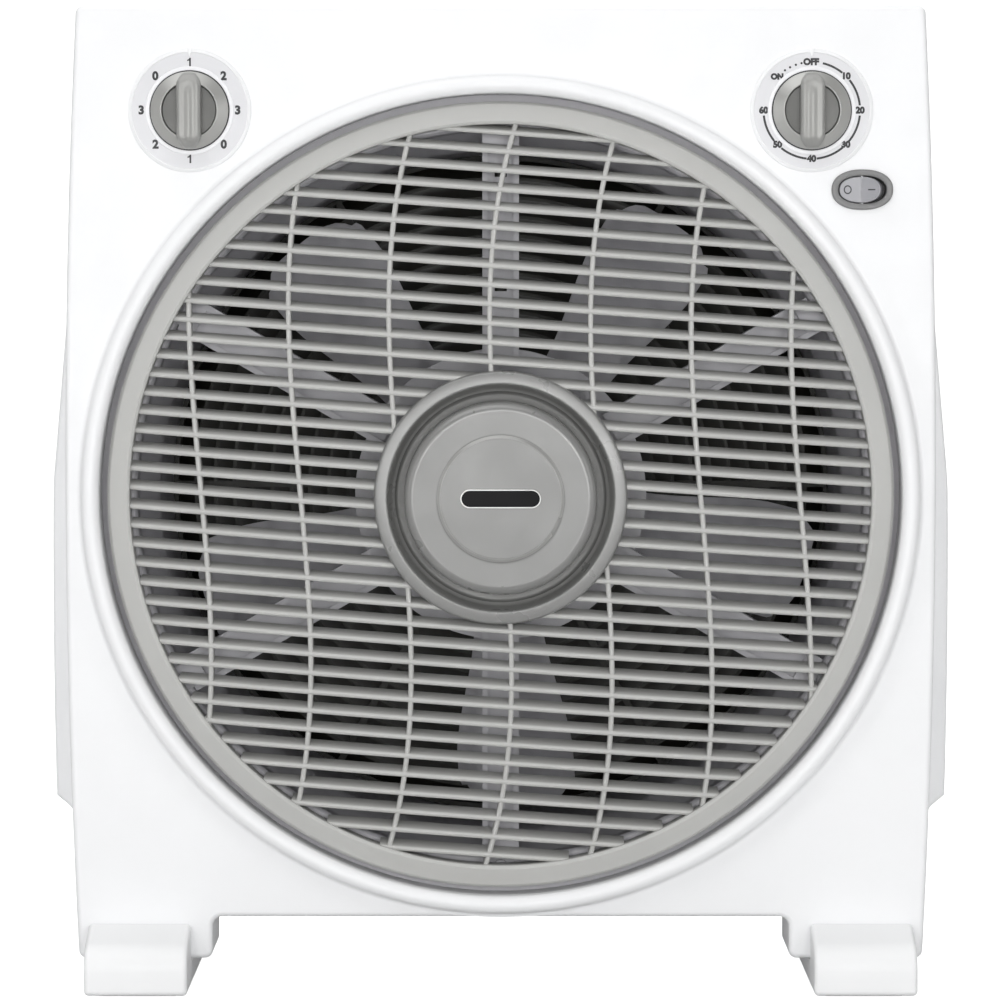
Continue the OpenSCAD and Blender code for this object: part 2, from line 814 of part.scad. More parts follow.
module motor_front_bell() {
    color(zinc) at_fan() difference() {
        union() {
            motor_bell(motor_y0 + 4, (core_y0 + core_y1) / 2);
            rod_y(bush_r + 2.5, motor_y0 + 1, motor_y0 + 1 + bush_len - 3);
        }
        rod_y(bush_r, motor_y0, motor_y0 + 20);
        for (i = [0:7]) rotate([0, i * 45 + 22.5, 0]) translate([-4, motor_y0, 16]) cube([8, 8, 12]);
    }
}

module motor_rear_bell() {
    color(zinc) at_fan() difference() {
        motor_bell(motor_y1, (core_y0 + core_y1) / 2);
        rod_y(bush_r, motor_y1 - 9, motor_y1 + 1);
        for (i = [0:7]) rotate([0, i * 45 + 22.5, 0]) translate([-4, motor_y1 - 4, 16]) cube([8, 8, 12]);
        motor_mount_places() rod_y(pilot_r, motor_y1 - 3, motor_y1 + 1);
    }
}

module front_bush() {
    color("peru") at_fan() tube_y(bush_r, shaft_r + run_gap, motor_y0 + 1, core_y0 - 5);
}

module rear_bush() {
    color("peru") at_fan() difference() {
        rod_y(bush_r, core_y1 + 4, motor_y1);
        rod_y(shaft_r + run_gap, core_y1 + 3, motor_y1 - 1.5);
    }
}

module motor_bolts() {
    color(zinc) at_fan() motor_bolt_places() {
        screw_y(motor_y1, motor_y1 - motor_y0 - 4, 1);
        rod_y(3, motor_y0 + 1.6, motor_y0 + 4);
    }
}

module motor_mount_places() { around(30, [0:90:270]) children(); }

module motor_mount_screws() {
    color(zinc) at_fan() motor_mount_places() screw_y(guard_plate_y + guard_plate_t, 4.5, 1);
}

module rear_guard() {
    rings = floor((duct_r - 3 - louvre_in_r) / louvre_pitch);
    slope = guard_y1 - back_y + 9;
    color(charcoal) at_fan() difference() {
        union() {
            rod_y(louvre_in_r + 2, guard_plate_y, guard_plate_y + guard_plate_t);
            for (i = [0:rings - 1]) let(r = louvre_in_r + i * louvre_pitch)
                turned([[r, guard_y1 - slope], [r + louvre_t, guard_y1 - slope],
                    [r + louvre_pitch + louvre_t, guard_y1], [r + louvre_pitch, guard_y1]]);
            for (a = [0:30:330]) rotate([0, a, 0]) translate([-1.5, guard_plate_y, cover_r + 1])
                cube([3, guard_y1 - guard_plate_y - 1, duct_r - cover_r - 2.5]);
            tube_y(guard_flange_r, duct_r - 2.5, back_y, back_y + guard_flange_t);
            tube_y(duct_r - 0.4, duct_r - 2.6, guard_plate_y + 4, back_y + guard_flange_t);
        }
        motor_bolt_places() rod_y(head_r + 0.4, guard_plate_y - 1, guard_plate_y + guard_plate_t + 1);
        motor_mount_places() rod_y(hole_r, guard_plate_y - 1, guard_plate_y + guard_plate_t + 1);
        guard_screw_places() rod_y(hole_r, back_y - 1, back_y + guard_flange_t + 1);
    }
}

module motor_cover() {
    y0 = guard_plate_y + guard_plate_t;
    color(charcoal) at_fan() turned([
        [cover_r, y0], [cover_r, guard_y1 - 3], [cover_r - 6, guard_y1 + 3], [0, guard_y1 + 3],
        [0, guard_y1 + 1], [cover_r - 7, guard_y1 + 1], [cover_r - 2, guard_y1 - 4], [cover_r - 2, y0]
    ]);
}

module guard_screws() {
    color(zinc) at_fan() guard_screw_places() screw_y(back_y + guard_flange_t, 8, 1);
}

module duct_screws() {
    color(zinc) at_fan() around(duct_screw_r, duct_screw_angles) screw_y(flange_y + flange_t, 10, 1);
}

module housing_screws() {
    color(zinc) housing_screw_places() screw_y(joint_y + 7, 24, 1);
}

module run_capacitor() {
    color(white) translate([half_w - 40, back_in_y - 22, belly_z + 26]) cube([20, 20, 34], center = true);
}

// ---- Controls ----

module dial_plate() {
    difference() {
        rod_y(dial_r, dial_face_y, dial_face_y + dial_t);
        rod_y(bushing_r + 0.2, dial_face_y - 1, dial_face_y + dial_t + 1);
    }
}

// A knob whose grip bar stands upright at rest
module knob() {
    difference() {
        union() {
            turned([
                [0, knob_back_y], [knob_r, knob_back_y], [knob_r, knob_back_y - 1.2],
                [knob_r - 4.2, knob_rim_y], [knob_r - 5, knob_rim_y], [knob_r - 5, knob_floor_y],
                [0, knob_floor_y]
            ]);
            intersection() {
                translate([-grip_w / 2, knob_front_y, -knob_r]) cube([grip_w, 9.2, 2 * knob_r]);
                translate([0, knob_front_y, 0]) turned([
                    [0, 0], [knob_r - 3.4, 0], [knob_r - 1.6, 2.5], [knob_r - 0.6, 9.4], [0, 9.4]
                ]);
            }
        }
        rod_y(nut_r + 0.8, knob_back_y - 2.4, knob_back_y + 1);
        rod_y(knob_shaft_r, knob_front_y + 3, knob_back_y + 1);
    }
}

// Hexagon nut that clamps a control's bushing against its dial
module control_nut() {
    difference() {
        translate([0, dial_face_y, 0]) rotate([90, 0, 0]) cylinder(r = nut_r, h = nut_t, $fn = 6);
        rod_y(bushing_r + seat_gap, dial_face_y - nut_t - 1, dial_face_y + 1);
    }
}

// Round shaft of a control from inside its case to inside its knob
module control_shaft() { rod_y(knob_shaft_r, knob_front_y + 3, panel_in_y + 9); }

// Threaded bushing of a control with its bore
module control_case_bore(depth) { rod_y(knob_shaft_r + run_gap, dial_face_y - 3, depth); }

module speed_switch() {
    color(black) at_speed() difference() {
        union() {
            translate([-15, panel_in_y, -15]) cube([30, 16, 30]);
            rod_y(bushing_r, dial_face_y - nut_t - 0.1, panel_in_y + 1);
            for (i = [-2:2]) translate([i * 5.5 - 1, panel_in_y + 15.5, -12]) cube([2, 7, 0.8]);
        }
        control_case_bore(panel_in_y + 9.5);
    }
}

module timer() {
    color(zinc) at_timer() difference() {
        union() {
            rod_y(21, panel_in_y, panel_in_y + 24);
            rod_y(bushing_r, dial_face_y - nut_t - 0.1, panel_in_y + 1);
            for (s = [-1, 1]) translate([s * 8 - 1, panel_in_y + 23.5, -3]) cube([2, 8, 6]);
        }
        control_case_bore(panel_in_y + 9.5);
    }
}

module speed_switch_shaft() { color(zinc) at_speed() control_shaft(); }
module timer_shaft() { color(zinc) at_timer() control_shaft(); }
module speed_dial() { color(light_grey) at_speed() dial_plate(); }
module timer_dial() { color(light_grey) at_timer() dial_plate(); }
module speed_knob() { color(satin_grey) at_speed() knob(); }
module timer_knob() { color(satin_grey) at_timer() knob(); }

module control_nuts() {
    color(zinc) { at_speed() control_nut(); at_timer() control_nut(); }
}

module rocker_switch() {
    a = rocker_a - rocker_ring;
    b = rocker_b - rocker_ring + 0.1;
    color([0.35, 0.35, 0.37]) at_rocker() difference() {
        union() {
            along_y(face_y - 1.8, face_y) oval(rocker_a, rocker_b);
            along_y(face_y - eps, panel_in_y + 12) oval(rocker_a - 2.1, rocker_b - 2.1);
            for (x = [-7, 0, 7]) translate([x - 0.4, panel_in_y + 11, -2.5]) cube([0.8, 8, 5]);
        }
        along_y(face_y - 3, panel_in_y + 8) oval(a, b);
        translate([0, pivot_y, 0.05 - pin_half]) cylinder(r = rocker_pin_r, h = 2 * pin_half - 0.1, $fn = 32);
    }
}

// The rocker is drawn level and then tipped so that its left end is pressed in
module rocker() {
    half = rocker_travel / 2;
    rise = 10 * tan(half);
    // The raised ends stay inside the frame at both ends of the travel
    a = (rocker_a - rocker_ring - rocker_gap - (4.2 + rise) * sin(half)) / cos(half);
    b = rocker_b - rocker_ring - rocker_gap + 0.1;
    color(violet_grey) at_rocker() translate([0, pivot_y, 0]) rotate([0, 0, -half]) difference() {
        intersection() {
            rotate([90, 0, 0]) translate([0, 0, -6]) linear_extrude(16) oval(a, b);
            translate([0, 0, -b]) linear_extrude(2 * b) polygon([
                [-a, -4.2 - rise], [0, -4.2], [a, -4.2 - rise],
                [a - 3.4, 1.2], [2.4, 3], [-2.4, 3], [3.4 - a, 1.2]
            ]);
        }
        translate([0, 0, -b - 1]) cylinder(r = rocker_pin_r + run_gap, h = 2 * b + 2, $fn = 32);
    }
}

module rocker_pin() {
    color(zinc) at_rocker() translate([0, pivot_y, 0.1 - pin_half])
        cylinder(r = rocker_pin_r, h = 2 * pin_half - 0.2, $fn = 32);
}

// ---- Stand ----

// One end of a foot standing out from the body: y_end is its tip and y_body the body's face
module foot_end(y_end, y_body) {
    way = sign(y_body - y_end);
    c = [y_end + way * foot_corner_r, foot_end_h - foot_corner_r];
    d = [abs(y_body - c[0]), foot_top_z - c[1]];
    touch = atan2(d[1], d[0]) - asin(foot_corner_r / norm(d)) + 90;
    module across() {
        translate([foot_x - foot_w / 2, 0, 0]) rotate([90, 0, 90]) linear_extrude(foot_w) children();
    }
    across() polygon([
        [y_end, pad_h], [y_end, c[1]], c, c + foot_corner_r * [way * cos(touch), sin(touch)],
        [y_body, foot_top_z], [y_body, pad_h]
    ]);
    intersection() {
        across() translate(c) circle(foot_corner_r, $fn = 64);
        across() polygon([
            [y_end - way, c[1] - 0.5], [y_end - way, foot_end_h + 1],
            c + (foot_corner_r + 3) * [way * cos(touch), sin(touch)], c - [0, 0.5]
        ]);
    }
}

module foot() {
    difference() {
        union() {
            foot_end(foot_front_y, face_y - leg_gap);
            foot_end(foot_back_y, back_y + leg_gap);
            translate([foot_x - foot_w / 2, face_y - 2, pad_h])
                cube([foot_w, back_y - face_y + 4, leg_z - pad_h]);
        }
        for (y = foot_screw_ys) translate([foot_x, y, 0]) {
            rod_z(head_r + 0.4, 0, pad_h + 4);
            rod_z(hole_r, 0, leg_z + 1);
        }
    }
}

module left_foot() { color(white) mirror([1, 0, 0]) foot(); }
module right_foot() { color(white) foot(); }

module foot_pads() {
    color(black) both_sides() for (y = [foot_front_y + 14, foot_back_y - 40])
        translate([foot_x - foot_w / 2 + 6, y, 0]) cube([foot_w - 12, 26, pad_h]);
}

module foot_screws() {
    color(zinc) foot_screw_places(foot_screw_ys) {
        rod_z(head_r, pad_h + 1.8, pad_h + 4);
        rod_z(screw_r, pad_h + 3.9, leg_z + 14);
    }
}

// ---- Electrical parts inside ----

module cord_gland() {
    color(black) translate([gland_x, 0, gland_z]) difference() {
        union() {
            rod_y(cord_r + 2, back_in_y - 3, back_y);
            rod_y(cord_r + 4, back_y, back_y + 3);
            rod_y(cord_r + 3.4, back_in_y - 4, back_in_y);
        }
        rod_y(cord_r, back_in_y - 5, back_y + 4);
    }
}

module terminal_block() {
    color(white) translate([gland_x - 10, back_in_y - 34, gland_z + 22]) difference() {
        cube([34, 14, 12]);
        for (i = [0:2]) translate([6 + i * 11, 7, -1]) cylinder(r = 2.2, h = 14, $fn = 32);
    }
}

// A cable swept through the listed points, with its rings square to the run
module cable(points, r) {
    sides = 8;
    last = len(points) - 1;
    function unit(v) = v / norm(v);
    rings = [for (i = [0:last])
        let(
            t = unit(points[min(i + 1, last)] - points[max(i - 1, 0)]),
            u = unit(cross(t, [0.3, 1, 0.2])),
            v = cross(t, u)
        )
        for (k = [0:sides - 1]) points[i] + r * (u * cos(k * 360 / sides) + v * sin(k * 360 / sides))];
    polyhedron(rings, concat(
        [[for (k = [sides - 1:-1:0]) k]],
        [for (i = [0:last - 1]) for (k = [0:sides - 1]) let(n = (k + 1) % sides)
            [i * sides + k, i * sides + n, (i + 1) * sides + n, (i + 1) * sides + k]],
        [[for (k = [0:sides - 1]) last * sides + k]]
    ), convexity = 4);
}

module wiring_loom() {
    side_x = -(duct_r + duct_t + half_w - wall) / 2 + 2;
    switch_y = panel_in_y + 28;
    color(black) {
        cable([
            [gland_x + 7, back_in_y - 27, gland_z + 35], [gland_x + 3, back_in_y - 27, gland_z + 46],
            [side_x + 4, 24, gland_z + 66], [side_x, 18, fan_z - 60], [side_x, 18, fan_z + 60],
            [side_x + 6, 12, fan_z + 100], [-dial_x - 10, switch_y + 8, dial_z - 14]
        ], loom_r);
        cable([
            [-dial_x + 18, switch_y - 6, dial_z + 12], [-dial_x + 30, switch_y, dial_z + 18],
            [0, switch_y + 4, dial_z + 20], [dial_x - 36, switch_y, dial_z + 18],
            [dial_x - 24, switch_y - 6, dial_z + 12]
        ], loom_r);
    }
}

front_housing();
rear_housing();
air_duct();
front_spider();
rear_guard();
motor_cover();
left_foot();
right_foot();
foot_pads();
foot_screws();
housing_screws();
duct_screws();
guard_screws();
spider_screws();
louver_grille();
thrust_washer();
retaining_washer();
hub_cap();
hub_badge();
grille_motor();
grille_motor_screws();
grille_motor_shaft();
drive_pinion();
fan_blade();
blade_nut();
drive_pin();
motor_shaft();
rotor_core();
stator_core();
stator_windings();
motor_front_bell();
motor_rear_bell();
front_bush();
rear_bush();
motor_bolts();
motor_mount_screws();
run_capacitor();
speed_switch();
speed_switch_shaft();
speed_dial();
speed_knob();
timer();
timer_shaft();
timer_dial();
timer_knob();
control_nuts();
rocker_switch();
rocker();
rocker_pin();
cord_gland();
terminal_block();
wiring_loom();
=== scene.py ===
import bmesh
import bpy
import json
from math import copysign, cos, exp, hypot, pi, radians, sin, sqrt, tan
from mathutils import Matrix, Vector


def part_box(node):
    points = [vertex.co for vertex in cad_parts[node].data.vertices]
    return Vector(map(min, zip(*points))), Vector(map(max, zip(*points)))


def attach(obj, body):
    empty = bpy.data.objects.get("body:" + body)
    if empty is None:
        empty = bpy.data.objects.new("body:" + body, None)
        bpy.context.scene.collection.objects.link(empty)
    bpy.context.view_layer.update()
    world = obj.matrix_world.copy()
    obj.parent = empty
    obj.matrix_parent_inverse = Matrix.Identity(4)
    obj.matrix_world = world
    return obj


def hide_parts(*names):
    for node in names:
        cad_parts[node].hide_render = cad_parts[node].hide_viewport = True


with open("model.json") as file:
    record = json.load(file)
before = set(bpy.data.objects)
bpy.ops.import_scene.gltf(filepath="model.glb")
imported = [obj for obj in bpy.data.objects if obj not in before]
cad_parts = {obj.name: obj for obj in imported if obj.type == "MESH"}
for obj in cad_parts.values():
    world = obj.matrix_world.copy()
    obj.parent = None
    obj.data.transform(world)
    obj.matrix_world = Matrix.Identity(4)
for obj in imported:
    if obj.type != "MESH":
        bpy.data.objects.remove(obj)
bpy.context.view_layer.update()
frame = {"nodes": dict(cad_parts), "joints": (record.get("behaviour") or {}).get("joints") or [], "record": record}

MM = 0.001
TAU = 2 * pi

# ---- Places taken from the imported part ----

joints = {j["name"]: j for j in frame["joints"]}
fan_z = joints["fan_spin"]["pos_m"][2]
speed_at = (joints["speed_knob_turn"]["pos_m"][0], joints["speed_knob_turn"]["pos_m"][2])
timer_at = (joints["timer_knob_turn"]["pos_m"][0], joints["timer_knob_turn"]["pos_m"][2])
pivot = Vector(joints["rocker_tilt"]["pos_m"])
rocker_at = (pivot.x, pivot.z)
fan_at = (0.0, fan_z)

front_lo, front_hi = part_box("front_housing")
rear_lo, rear_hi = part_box("rear_housing")
duct_lo, duct_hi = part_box("air_duct")
grille_lo, grille_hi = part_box("louver_grille")
cap_lo, cap_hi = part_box("hub_cap")
foot_lo, foot_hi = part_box("right_foot")
dial_lo, dial_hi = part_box("timer_dial")
knob_lo, knob_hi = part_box("timer_knob")
blade_lo, blade_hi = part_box("fan_blade")
badge_lo, badge_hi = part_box("hub_badge")
bezel_lo, bezel_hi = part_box("rocker_switch")

wall = 2.5 * MM
lip_w = 8 * MM
lip_h = 8 * MM
half_w = front_hi.x
body_top = front_hi.z
leg_z = front_lo.z
lip_y = front_lo.y
face_y = lip_y + lip_h
joint_y = front_hi.y
back_y = rear_hi.y
opening_r = 180.5 * MM
belly_z = 33.4 * MM
leg_in = 130.3 * MM
side_bow = 5.7 * MM
leg_step = 8 * MM
rim_r = grille_hi.x
rim_in_r = rim_r - 10.2 * MM
dome_h = 16 * MM
dome_edge_y = face_y - 1 * MM
duct_r = 156 * MM


# ---- Finishes ----

def cloudy(nodes, links, coords, scale, low, high, detail=3.0, stretch=None):
    """Noise of the given scale, spread from low to high."""
    noise = nodes.new("ShaderNodeTexNoise")
    noise.inputs["Scale"].default_value = scale
    noise.inputs["Detail"].default_value = detail
    source = coords.outputs["Object"]
    if stretch:
        mapping = nodes.new("ShaderNodeMapping")
        mapping.inputs["Scale"].default_value = stretch
        links.new(source, mapping.inputs["Vector"])
        source = mapping.outputs["Vector"]
    links.new(source, noise.inputs["Vector"])
    spread = nodes.new("ShaderNodeMapRange")
    for name, value in (("From Min", 0.3), ("From Max", 0.7), ("To Min", low), ("To Max", high)):
        spread.inputs[name].default_value = value
    links.new(noise.outputs["Fac"], spread.inputs["Value"])
    return spread.outputs["Result"]


def moulded(name, colour, rough, grain, relief, mottle, metallic=0.0, coat=0.0, stretch=None):
    """A moulded or painted finish with a fine grain (its size in mm), slight mottling and an uneven sheen."""
    mat = bpy.data.materials.new(name)
    mat.use_nodes = True
    nodes, links = mat.node_tree.nodes, mat.node_tree.links
    shader, coords = nodes["Principled BSDF"], nodes.new("ShaderNodeTexCoord")
    tone = nodes.new("ShaderNodeMix")
    tone.data_type = "RGBA"
    tone.inputs[6].default_value = [c * (1 - mottle) for c in colour] + [1]
    tone.inputs[7].default_value = [min(1, c * (1 + mottle)) for c in colour] + [1]
    links.new(cloudy(nodes, links, coords, 22, 0, 1), tone.inputs[0])
    links.new(tone.outputs[2], shader.inputs["Base Color"])
    links.new(cloudy(nodes, links, coords, 55, rough - 0.04, rough + 0.05), shader.inputs["Roughness"])
    bump = nodes.new("ShaderNodeBump")
    bump.inputs["Strength"].default_value = relief
    bump.inputs["Distance"].default_value = grain * MM * 0.5
    links.new(cloudy(nodes, links, coords, 1 / (grain * MM), 0, 1, 2.0, stretch), bump.inputs["Height"])
    links.new(bump.outputs["Normal"], shader.inputs["Normal"])
    shader.inputs["Metallic"].default_value = metallic
    shader.inputs["Coat Weight"].default_value = coat
    shader.inputs["Coat Roughness"].default_value = 0.2
    return mat


body_plastic = moulded("body_satin_white", (0.87, 0.875, 0.885), 0.42, 0.5, 0.05, 0.008)
foot_plastic = moulded("foot_satin_white", (0.88, 0.885, 0.89), 0.45, 0.5, 0.07, 0.01)
grille_plastic = moulded("grille_warm_grey", (0.48, 0.48, 0.465), 0.40, 0.4, 0.05, 0.02)
hub_paint = moulded("hub_satin_grey", (0.21, 0.21, 0.205), 0.33, 0.3, 0.03, 0.012, 0.2)
# Grey paint of the hub's flange, kept lighter than the cap's grey so that its shaded wall reads lighter, which is
# partly painted light. On the cap's rounded rim it is a painted highlight.
hub_ring_grey_and_painted_highlight = moulded("hub_ring_grey_with_painted_highlight", (0.245, 0.245, 0.24), 0.3, 0.3, 0.03, 0.012, 0.25)
# Light grey for the cap's step ring and the inner wall of the hub's flange: a painted highlight.
hub_painted_highlight = moulded("hub_painted_highlight_grey", (0.36, 0.36, 0.35), 0.3, 0.3, 0.03, 0.012, 0.3)
# Dark grey for the channel floor and sleeve inside the grille's hub: painted shade in the recess.
hub_well_painted_shade = moulded("hub_well_painted_shade_grey", (0.14, 0.14, 0.135), 0.34, 0.3, 0.06, 0.02, 0.3)
duct_plastic = moulded("duct_violet_grey", (0.46, 0.455, 0.48), 0.38, 0.5, 0.05, 0.03)
# Lighter violet grey for the duct's flange: painted light that brightens the band seen in the shaded gap between the
# rim and the lip.
duct_flange_painted_light = moulded("duct_flange_violet_grey_painted_light", (0.60, 0.59, 0.62), 0.38, 0.5, 0.05, 0.03)
blade_plastic = moulded("blade_violet_grey", (0.50, 0.495, 0.52), 0.33, 0.5, 0.04, 0.03)
guard_plastic = moulded("guard_charcoal", (0.026, 0.026, 0.020), 0.5, 0.5, 0.12, 0.15)
knob_silver = moulded("knob_silver_coat", (0.46, 0.46, 0.445), 0.36, 0.25, 0.04, 0.03, 0.55)
knob_grip = moulded("knob_grip_coat", (0.34, 0.34, 0.328), 0.44, 0.25, 0.04, 0.03, 0.3)
knob_dish = moulded("knob_dish_coat", (0.11, 0.11, 0.105), 0.42, 0.25, 0.05, 0.03, 0.45)
dial_paint = moulded("dial_printed_grey", (0.70, 0.70, 0.72), 0.40, 0.4, 0.03, 0.01)
collar_white = moulded("dial_collar_white", (0.86, 0.86, 0.88), 0.35, 0.4, 0.03, 0.01)
# Black ink for the print, also used for a ring of painted shade round each knob.
print_and_gap_shade_ink = moulded("dial_print_and_gap_shade_black", (0.025, 0.025, 0.028), 0.5, 0.3, 0.05, 0.1)
bezel_plastic = moulded("switch_frame_grey", (0.20, 0.20, 0.20), 0.40, 0.35, 0.10, 0.05)
rocker_plastic = moulded("rocker_violet_grey", (0.32, 0.32, 0.34), 0.32, 0.35, 0.05, 0.03)
badge_rim = moulded("badge_brushed_rim", (0.62, 0.62, 0.61), 0.34, 0.2, 0.10, 0.04, 0.8, 0.0, (0.1, 1, 1))
badge_field = moulded("badge_black_field", (0.010, 0.010, 0.011), 0.6, 0.3, 0.03, 0.1)
badge_field.node_tree.nodes["Principled BSDF"].inputs["Specular IOR Level"].default_value = 0.15
zinc_plate = moulded("zinc_plated_steel", (0.62, 0.63, 0.65), 0.28, 0.3, 0.10, 0.08, 1.0)
motor_paint = moulded("motor_case_steel", (0.42, 0.43, 0.45), 0.34, 0.4, 0.08, 0.06, 0.9)
core_iron = moulded("laminated_core", (0.16, 0.16, 0.17), 0.50, 0.5, 0.5, 0.10, 0.8, 0.0, (0.05, 1, 0.05))
copper_wire = moulded("enamelled_copper", (0.55, 0.23, 0.10), 0.30, 0.6, 0.6, 0.15, 0.9, 0.3)
bronze_bush = moulded("sintered_bronze", (0.48, 0.30, 0.14), 0.42, 0.2, 0.25, 0.10, 0.9)
dull_zinc = moulded("dull_zinc_steel", (0.24, 0.24, 0.25), 0.5, 0.3, 0.10, 0.08, 0.6)
pad_rubber = moulded("pad_rubber", (0.022, 0.022, 0.022), 0.75, 0.5, 0.3, 0.2)
case_black = moulded("case_black_plastic", (0.03, 0.03, 0.032), 0.45, 0.4, 0.15, 0.15)
nylon = moulded("nylon_white", (0.72, 0.72, 0.67), 0.42, 0.4, 0.08, 0.03)

slot_finish = {
    "body_white": body_plastic, "grille_grey": grille_plastic, "inner_grey": duct_plastic,
    "guard_dark": guard_plastic, "cap_grey": hub_paint, "knob_silver": knob_silver,
    "dial_grey": dial_paint, "switch_grey": bezel_plastic, "rocker_grey": rocker_plastic,
    "badge_plate": badge_rim, "zinc_steel": zinc_plate, "motor_steel": motor_paint,
    "core_steel": core_iron, "copper_wire": copper_wire, "bronze": bronze_bush,
    "rubber_black": pad_rubber, "black_plastic": case_black, "nylon_white": nylon,
}
for part in frame["record"]["subparts"]:
    node = frame["nodes"][part["node"]]
    node.data.materials.clear()
    node.data.materials.append(slot_finish[part["material_slot"]])
frame["nodes"]["spider_screws"].data.materials[0] = dull_zinc


# ---- Making meshes ----

def mm(*values):
    return [v * MM for v in values]


def along(x, y, *steps):
    """Points at (x, y) moved by steps in mm."""
    return [(x + a * MM, y + b * MM) for a, b in steps]


def linked(name, data):
    """A new object in the scene."""
    obj = bpy.data.objects.new(name, data)
    bpy.context.scene.collection.objects.link(obj)
    return obj


def to_mesh(bm, name):
    """The finished mesh, its faces turned outward."""
    bmesh.ops.recalc_face_normals(bm, faces=bm.faces)
    mesh = bpy.data.meshes.new(name)
    bm.to_mesh(mesh)
    bm.free()
    return mesh


def soften(points, radius, steps=6):
    """A closed outline with its corners rounded. radius is one value, or one for each corner."""
    out = []
    n = len(points)
    for i, p in enumerate(points):
        r = radius[i] if isinstance(radius, (list, tuple)) else radius
        p = Vector(p)
        a, b = Vector(points[i - 1]) - p, Vector(points[(i + 1) % n]) - p
        la, lb = a.length, b.length
        angle = a.angle(b) if la > 1e-9 and lb > 1e-9 else pi
        if r <= 0 or angle > radians(176):
            out.append(tuple(p))
            continue
        cut = min(r / tan(angle / 2), 0.48 * la, 0.48 * lb)
        r = cut * tan(angle / 2)
        a.normalize()
        b.normalize()
        centre = p + (a + b).normalized() * (r / sin(angle / 2))
        start, end = p + a * cut - centre, p + b * cut - centre
        sweep = start.angle_signed(end)
        for k in range(steps + 1):
            t = -sweep * k / steps
            out.append((centre.x + start.x * cos(t) - start.y * sin(t),
                        centre.y + start.x * sin(t) + start.y * cos(t)))
    return out


def inward(points, d):
    """The closed outline moved inward by d, point for point. The outline runs anticlockwise."""
    out = []
    n = len(points)
    for i, p in enumerate(points):
        p = Vector(p)
        a = (p - Vector(points[i - 1])).normalized()
        b = (Vector(points[(i + 1) % n]) - p).normalized()
        na, nb = Vector((-a.y, a.x)), Vector((-b.y, b.x))
        out.append(tuple(p + (na + nb) * (d / max(0.2, 1 + na.dot(nb)))))
    return out


def circle(r, at=(0, 0), count=128):
    return [(at[0] + r * cos(TAU * k / count), at[1] + r * sin(TAU * k / count)) for k in range(count)]


def arc(cx, cy, r, a0, a1, steps):
    turns = [radians(a0 + (a1 - a0) * k / steps) for k in range(steps + 1)]
    return [(cx + r * cos(t), cy + r * sin(t)) for t in turns]


def clock_place(at, r, degrees):
    """The place at a clock angle on a circle."""
    t = radians(90 - degrees)
    return at[0] + r * cos(t), at[1] + r * sin(t)


def from_axis(p, at):
    """How far a point is from the Y axis through at."""
    return hypot(p.x - at[0], p.z - at[1])


def prism(bm, low, high):
    """Closes two equal loops of vertices into a solid and gives back its faces."""
    sides = [(low[i - 1], low[i], high[i], high[i - 1]) for i in range(len(low))]
    return [bm.faces.new(f) for f in [low, high] + sides]


class Shell:
    """Collects rings of points, the walls between them and flat faces with holes."""

    def __init__(self, axis="Y"):
        self.bm = bmesh.new()
        self.axis = axis

    def ring(self, outline, depth):
        if self.axis == "Y":
            return [self.bm.verts.new((p[0], depth, p[1])) for p in outline]
        return [self.bm.verts.new((depth, p[0], p[1])) for p in outline]

    def wall(self, a, b):
        for i in range(len(a)):
            j = (i + 1) % len(a)
            self.bm.faces.new((a[i], a[j], b[j], b[i]))

    def walls(self, rings):
        for a, b in zip(rings, rings[1:]):
            self.wall(a, b)

    def flat(self, *loops):
        edges = []
        for loop in loops:
            for i, v in enumerate(loop):
                w = loop[(i + 1) % len(loop)]
                edges.append(self.bm.edges.get((v, w)) or self.bm.edges.new((v, w)))
        bmesh.ops.triangle_fill(self.bm, use_beauty=True, use_dissolve=False, edges=edges)

    def solid(self, rings):
        self.walls(rings)
        self.flat(rings[0])
        self.flat(rings[-1])

    def piece(self, name, *materials, **kwargs):
        bmesh.ops.remove_doubles(self.bm, verts=self.bm.verts, dist=1e-7)
        return finish_piece(to_mesh(self.bm, name), name, *materials, **kwargs)


def finish_piece(mesh, name, *materials, slot, body="housing", replaces=(), sharp=35, weighted=True):
    """Makes the object, shades it, ties it to its body and hides the nodes it stands for. slot is not used."""
    for m in materials:
        mesh.materials.append(m)
    mesh.shade_smooth()
    mesh.set_sharp_from_angle(angle=radians(sharp))
    obj = linked(name, mesh)
    if weighted:
        mod = obj.modifiers.new("even_shading", "WEIGHTED_NORMAL")
        mod.keep_sharp = True
        mod.weight = 80
    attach(obj, body)
    if replaces:
        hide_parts(*replaces)
    return obj


def revolve(bm, profile, at, count=192, material=0):
    """Turns a closed profile of (radius, y) about the Y axis through at."""
    rings = []
    for r, y in profile:
        places = circle(r, at, count) if r > 1e-7 else [at]
        rings.append([bm.verts.new((x, y, z)) for x, z in places])
    for a, b in zip(rings, rings[1:] + rings[:1]):
        if len(a) == 1 and len(b) == 1:
            continue
        for i in range(count):
            j = (i + 1) % count
            if len(a) == 1:
                f = bm.faces.new((a[0], b[j], b[i]))
            elif len(b) == 1:
                f = bm.faces.new((a[i], a[j], b[0]))
            else:
                f = bm.faces.new((a[i], a[j], b[j], b[i]))
            f.material_index = material


def turned_piece(name, profiles, at, *materials, count=192, **kwargs):
    """A piece made of turned profiles, each in the material at the same place in its list."""
    shell = Shell()
    for index, points in enumerate(profiles):
        revolve(shell.bm, points, at, count, index)
    return shell.piece(name, *materials, **kwargs)

# ---- Geometry Nodes trees ----

def node_tree(name, inputs):
    tree = bpy.data.node_groups.new(name, "GeometryNodeTree")
    tree.interface.new_socket(name="Geometry", in_out="INPUT", socket_type="NodeSocketGeometry")
    for label, kind in inputs:
        tree.interface.new_socket(name=label, in_out="INPUT", socket_type="NodeSocket" + kind)
    tree.interface.new_socket(name="Geometry", in_out="OUTPUT", socket_type="NodeSocketGeometry")
    return tree, tree.nodes.new("NodeGroupInput"), tree.nodes.new("NodeGroupOutput")


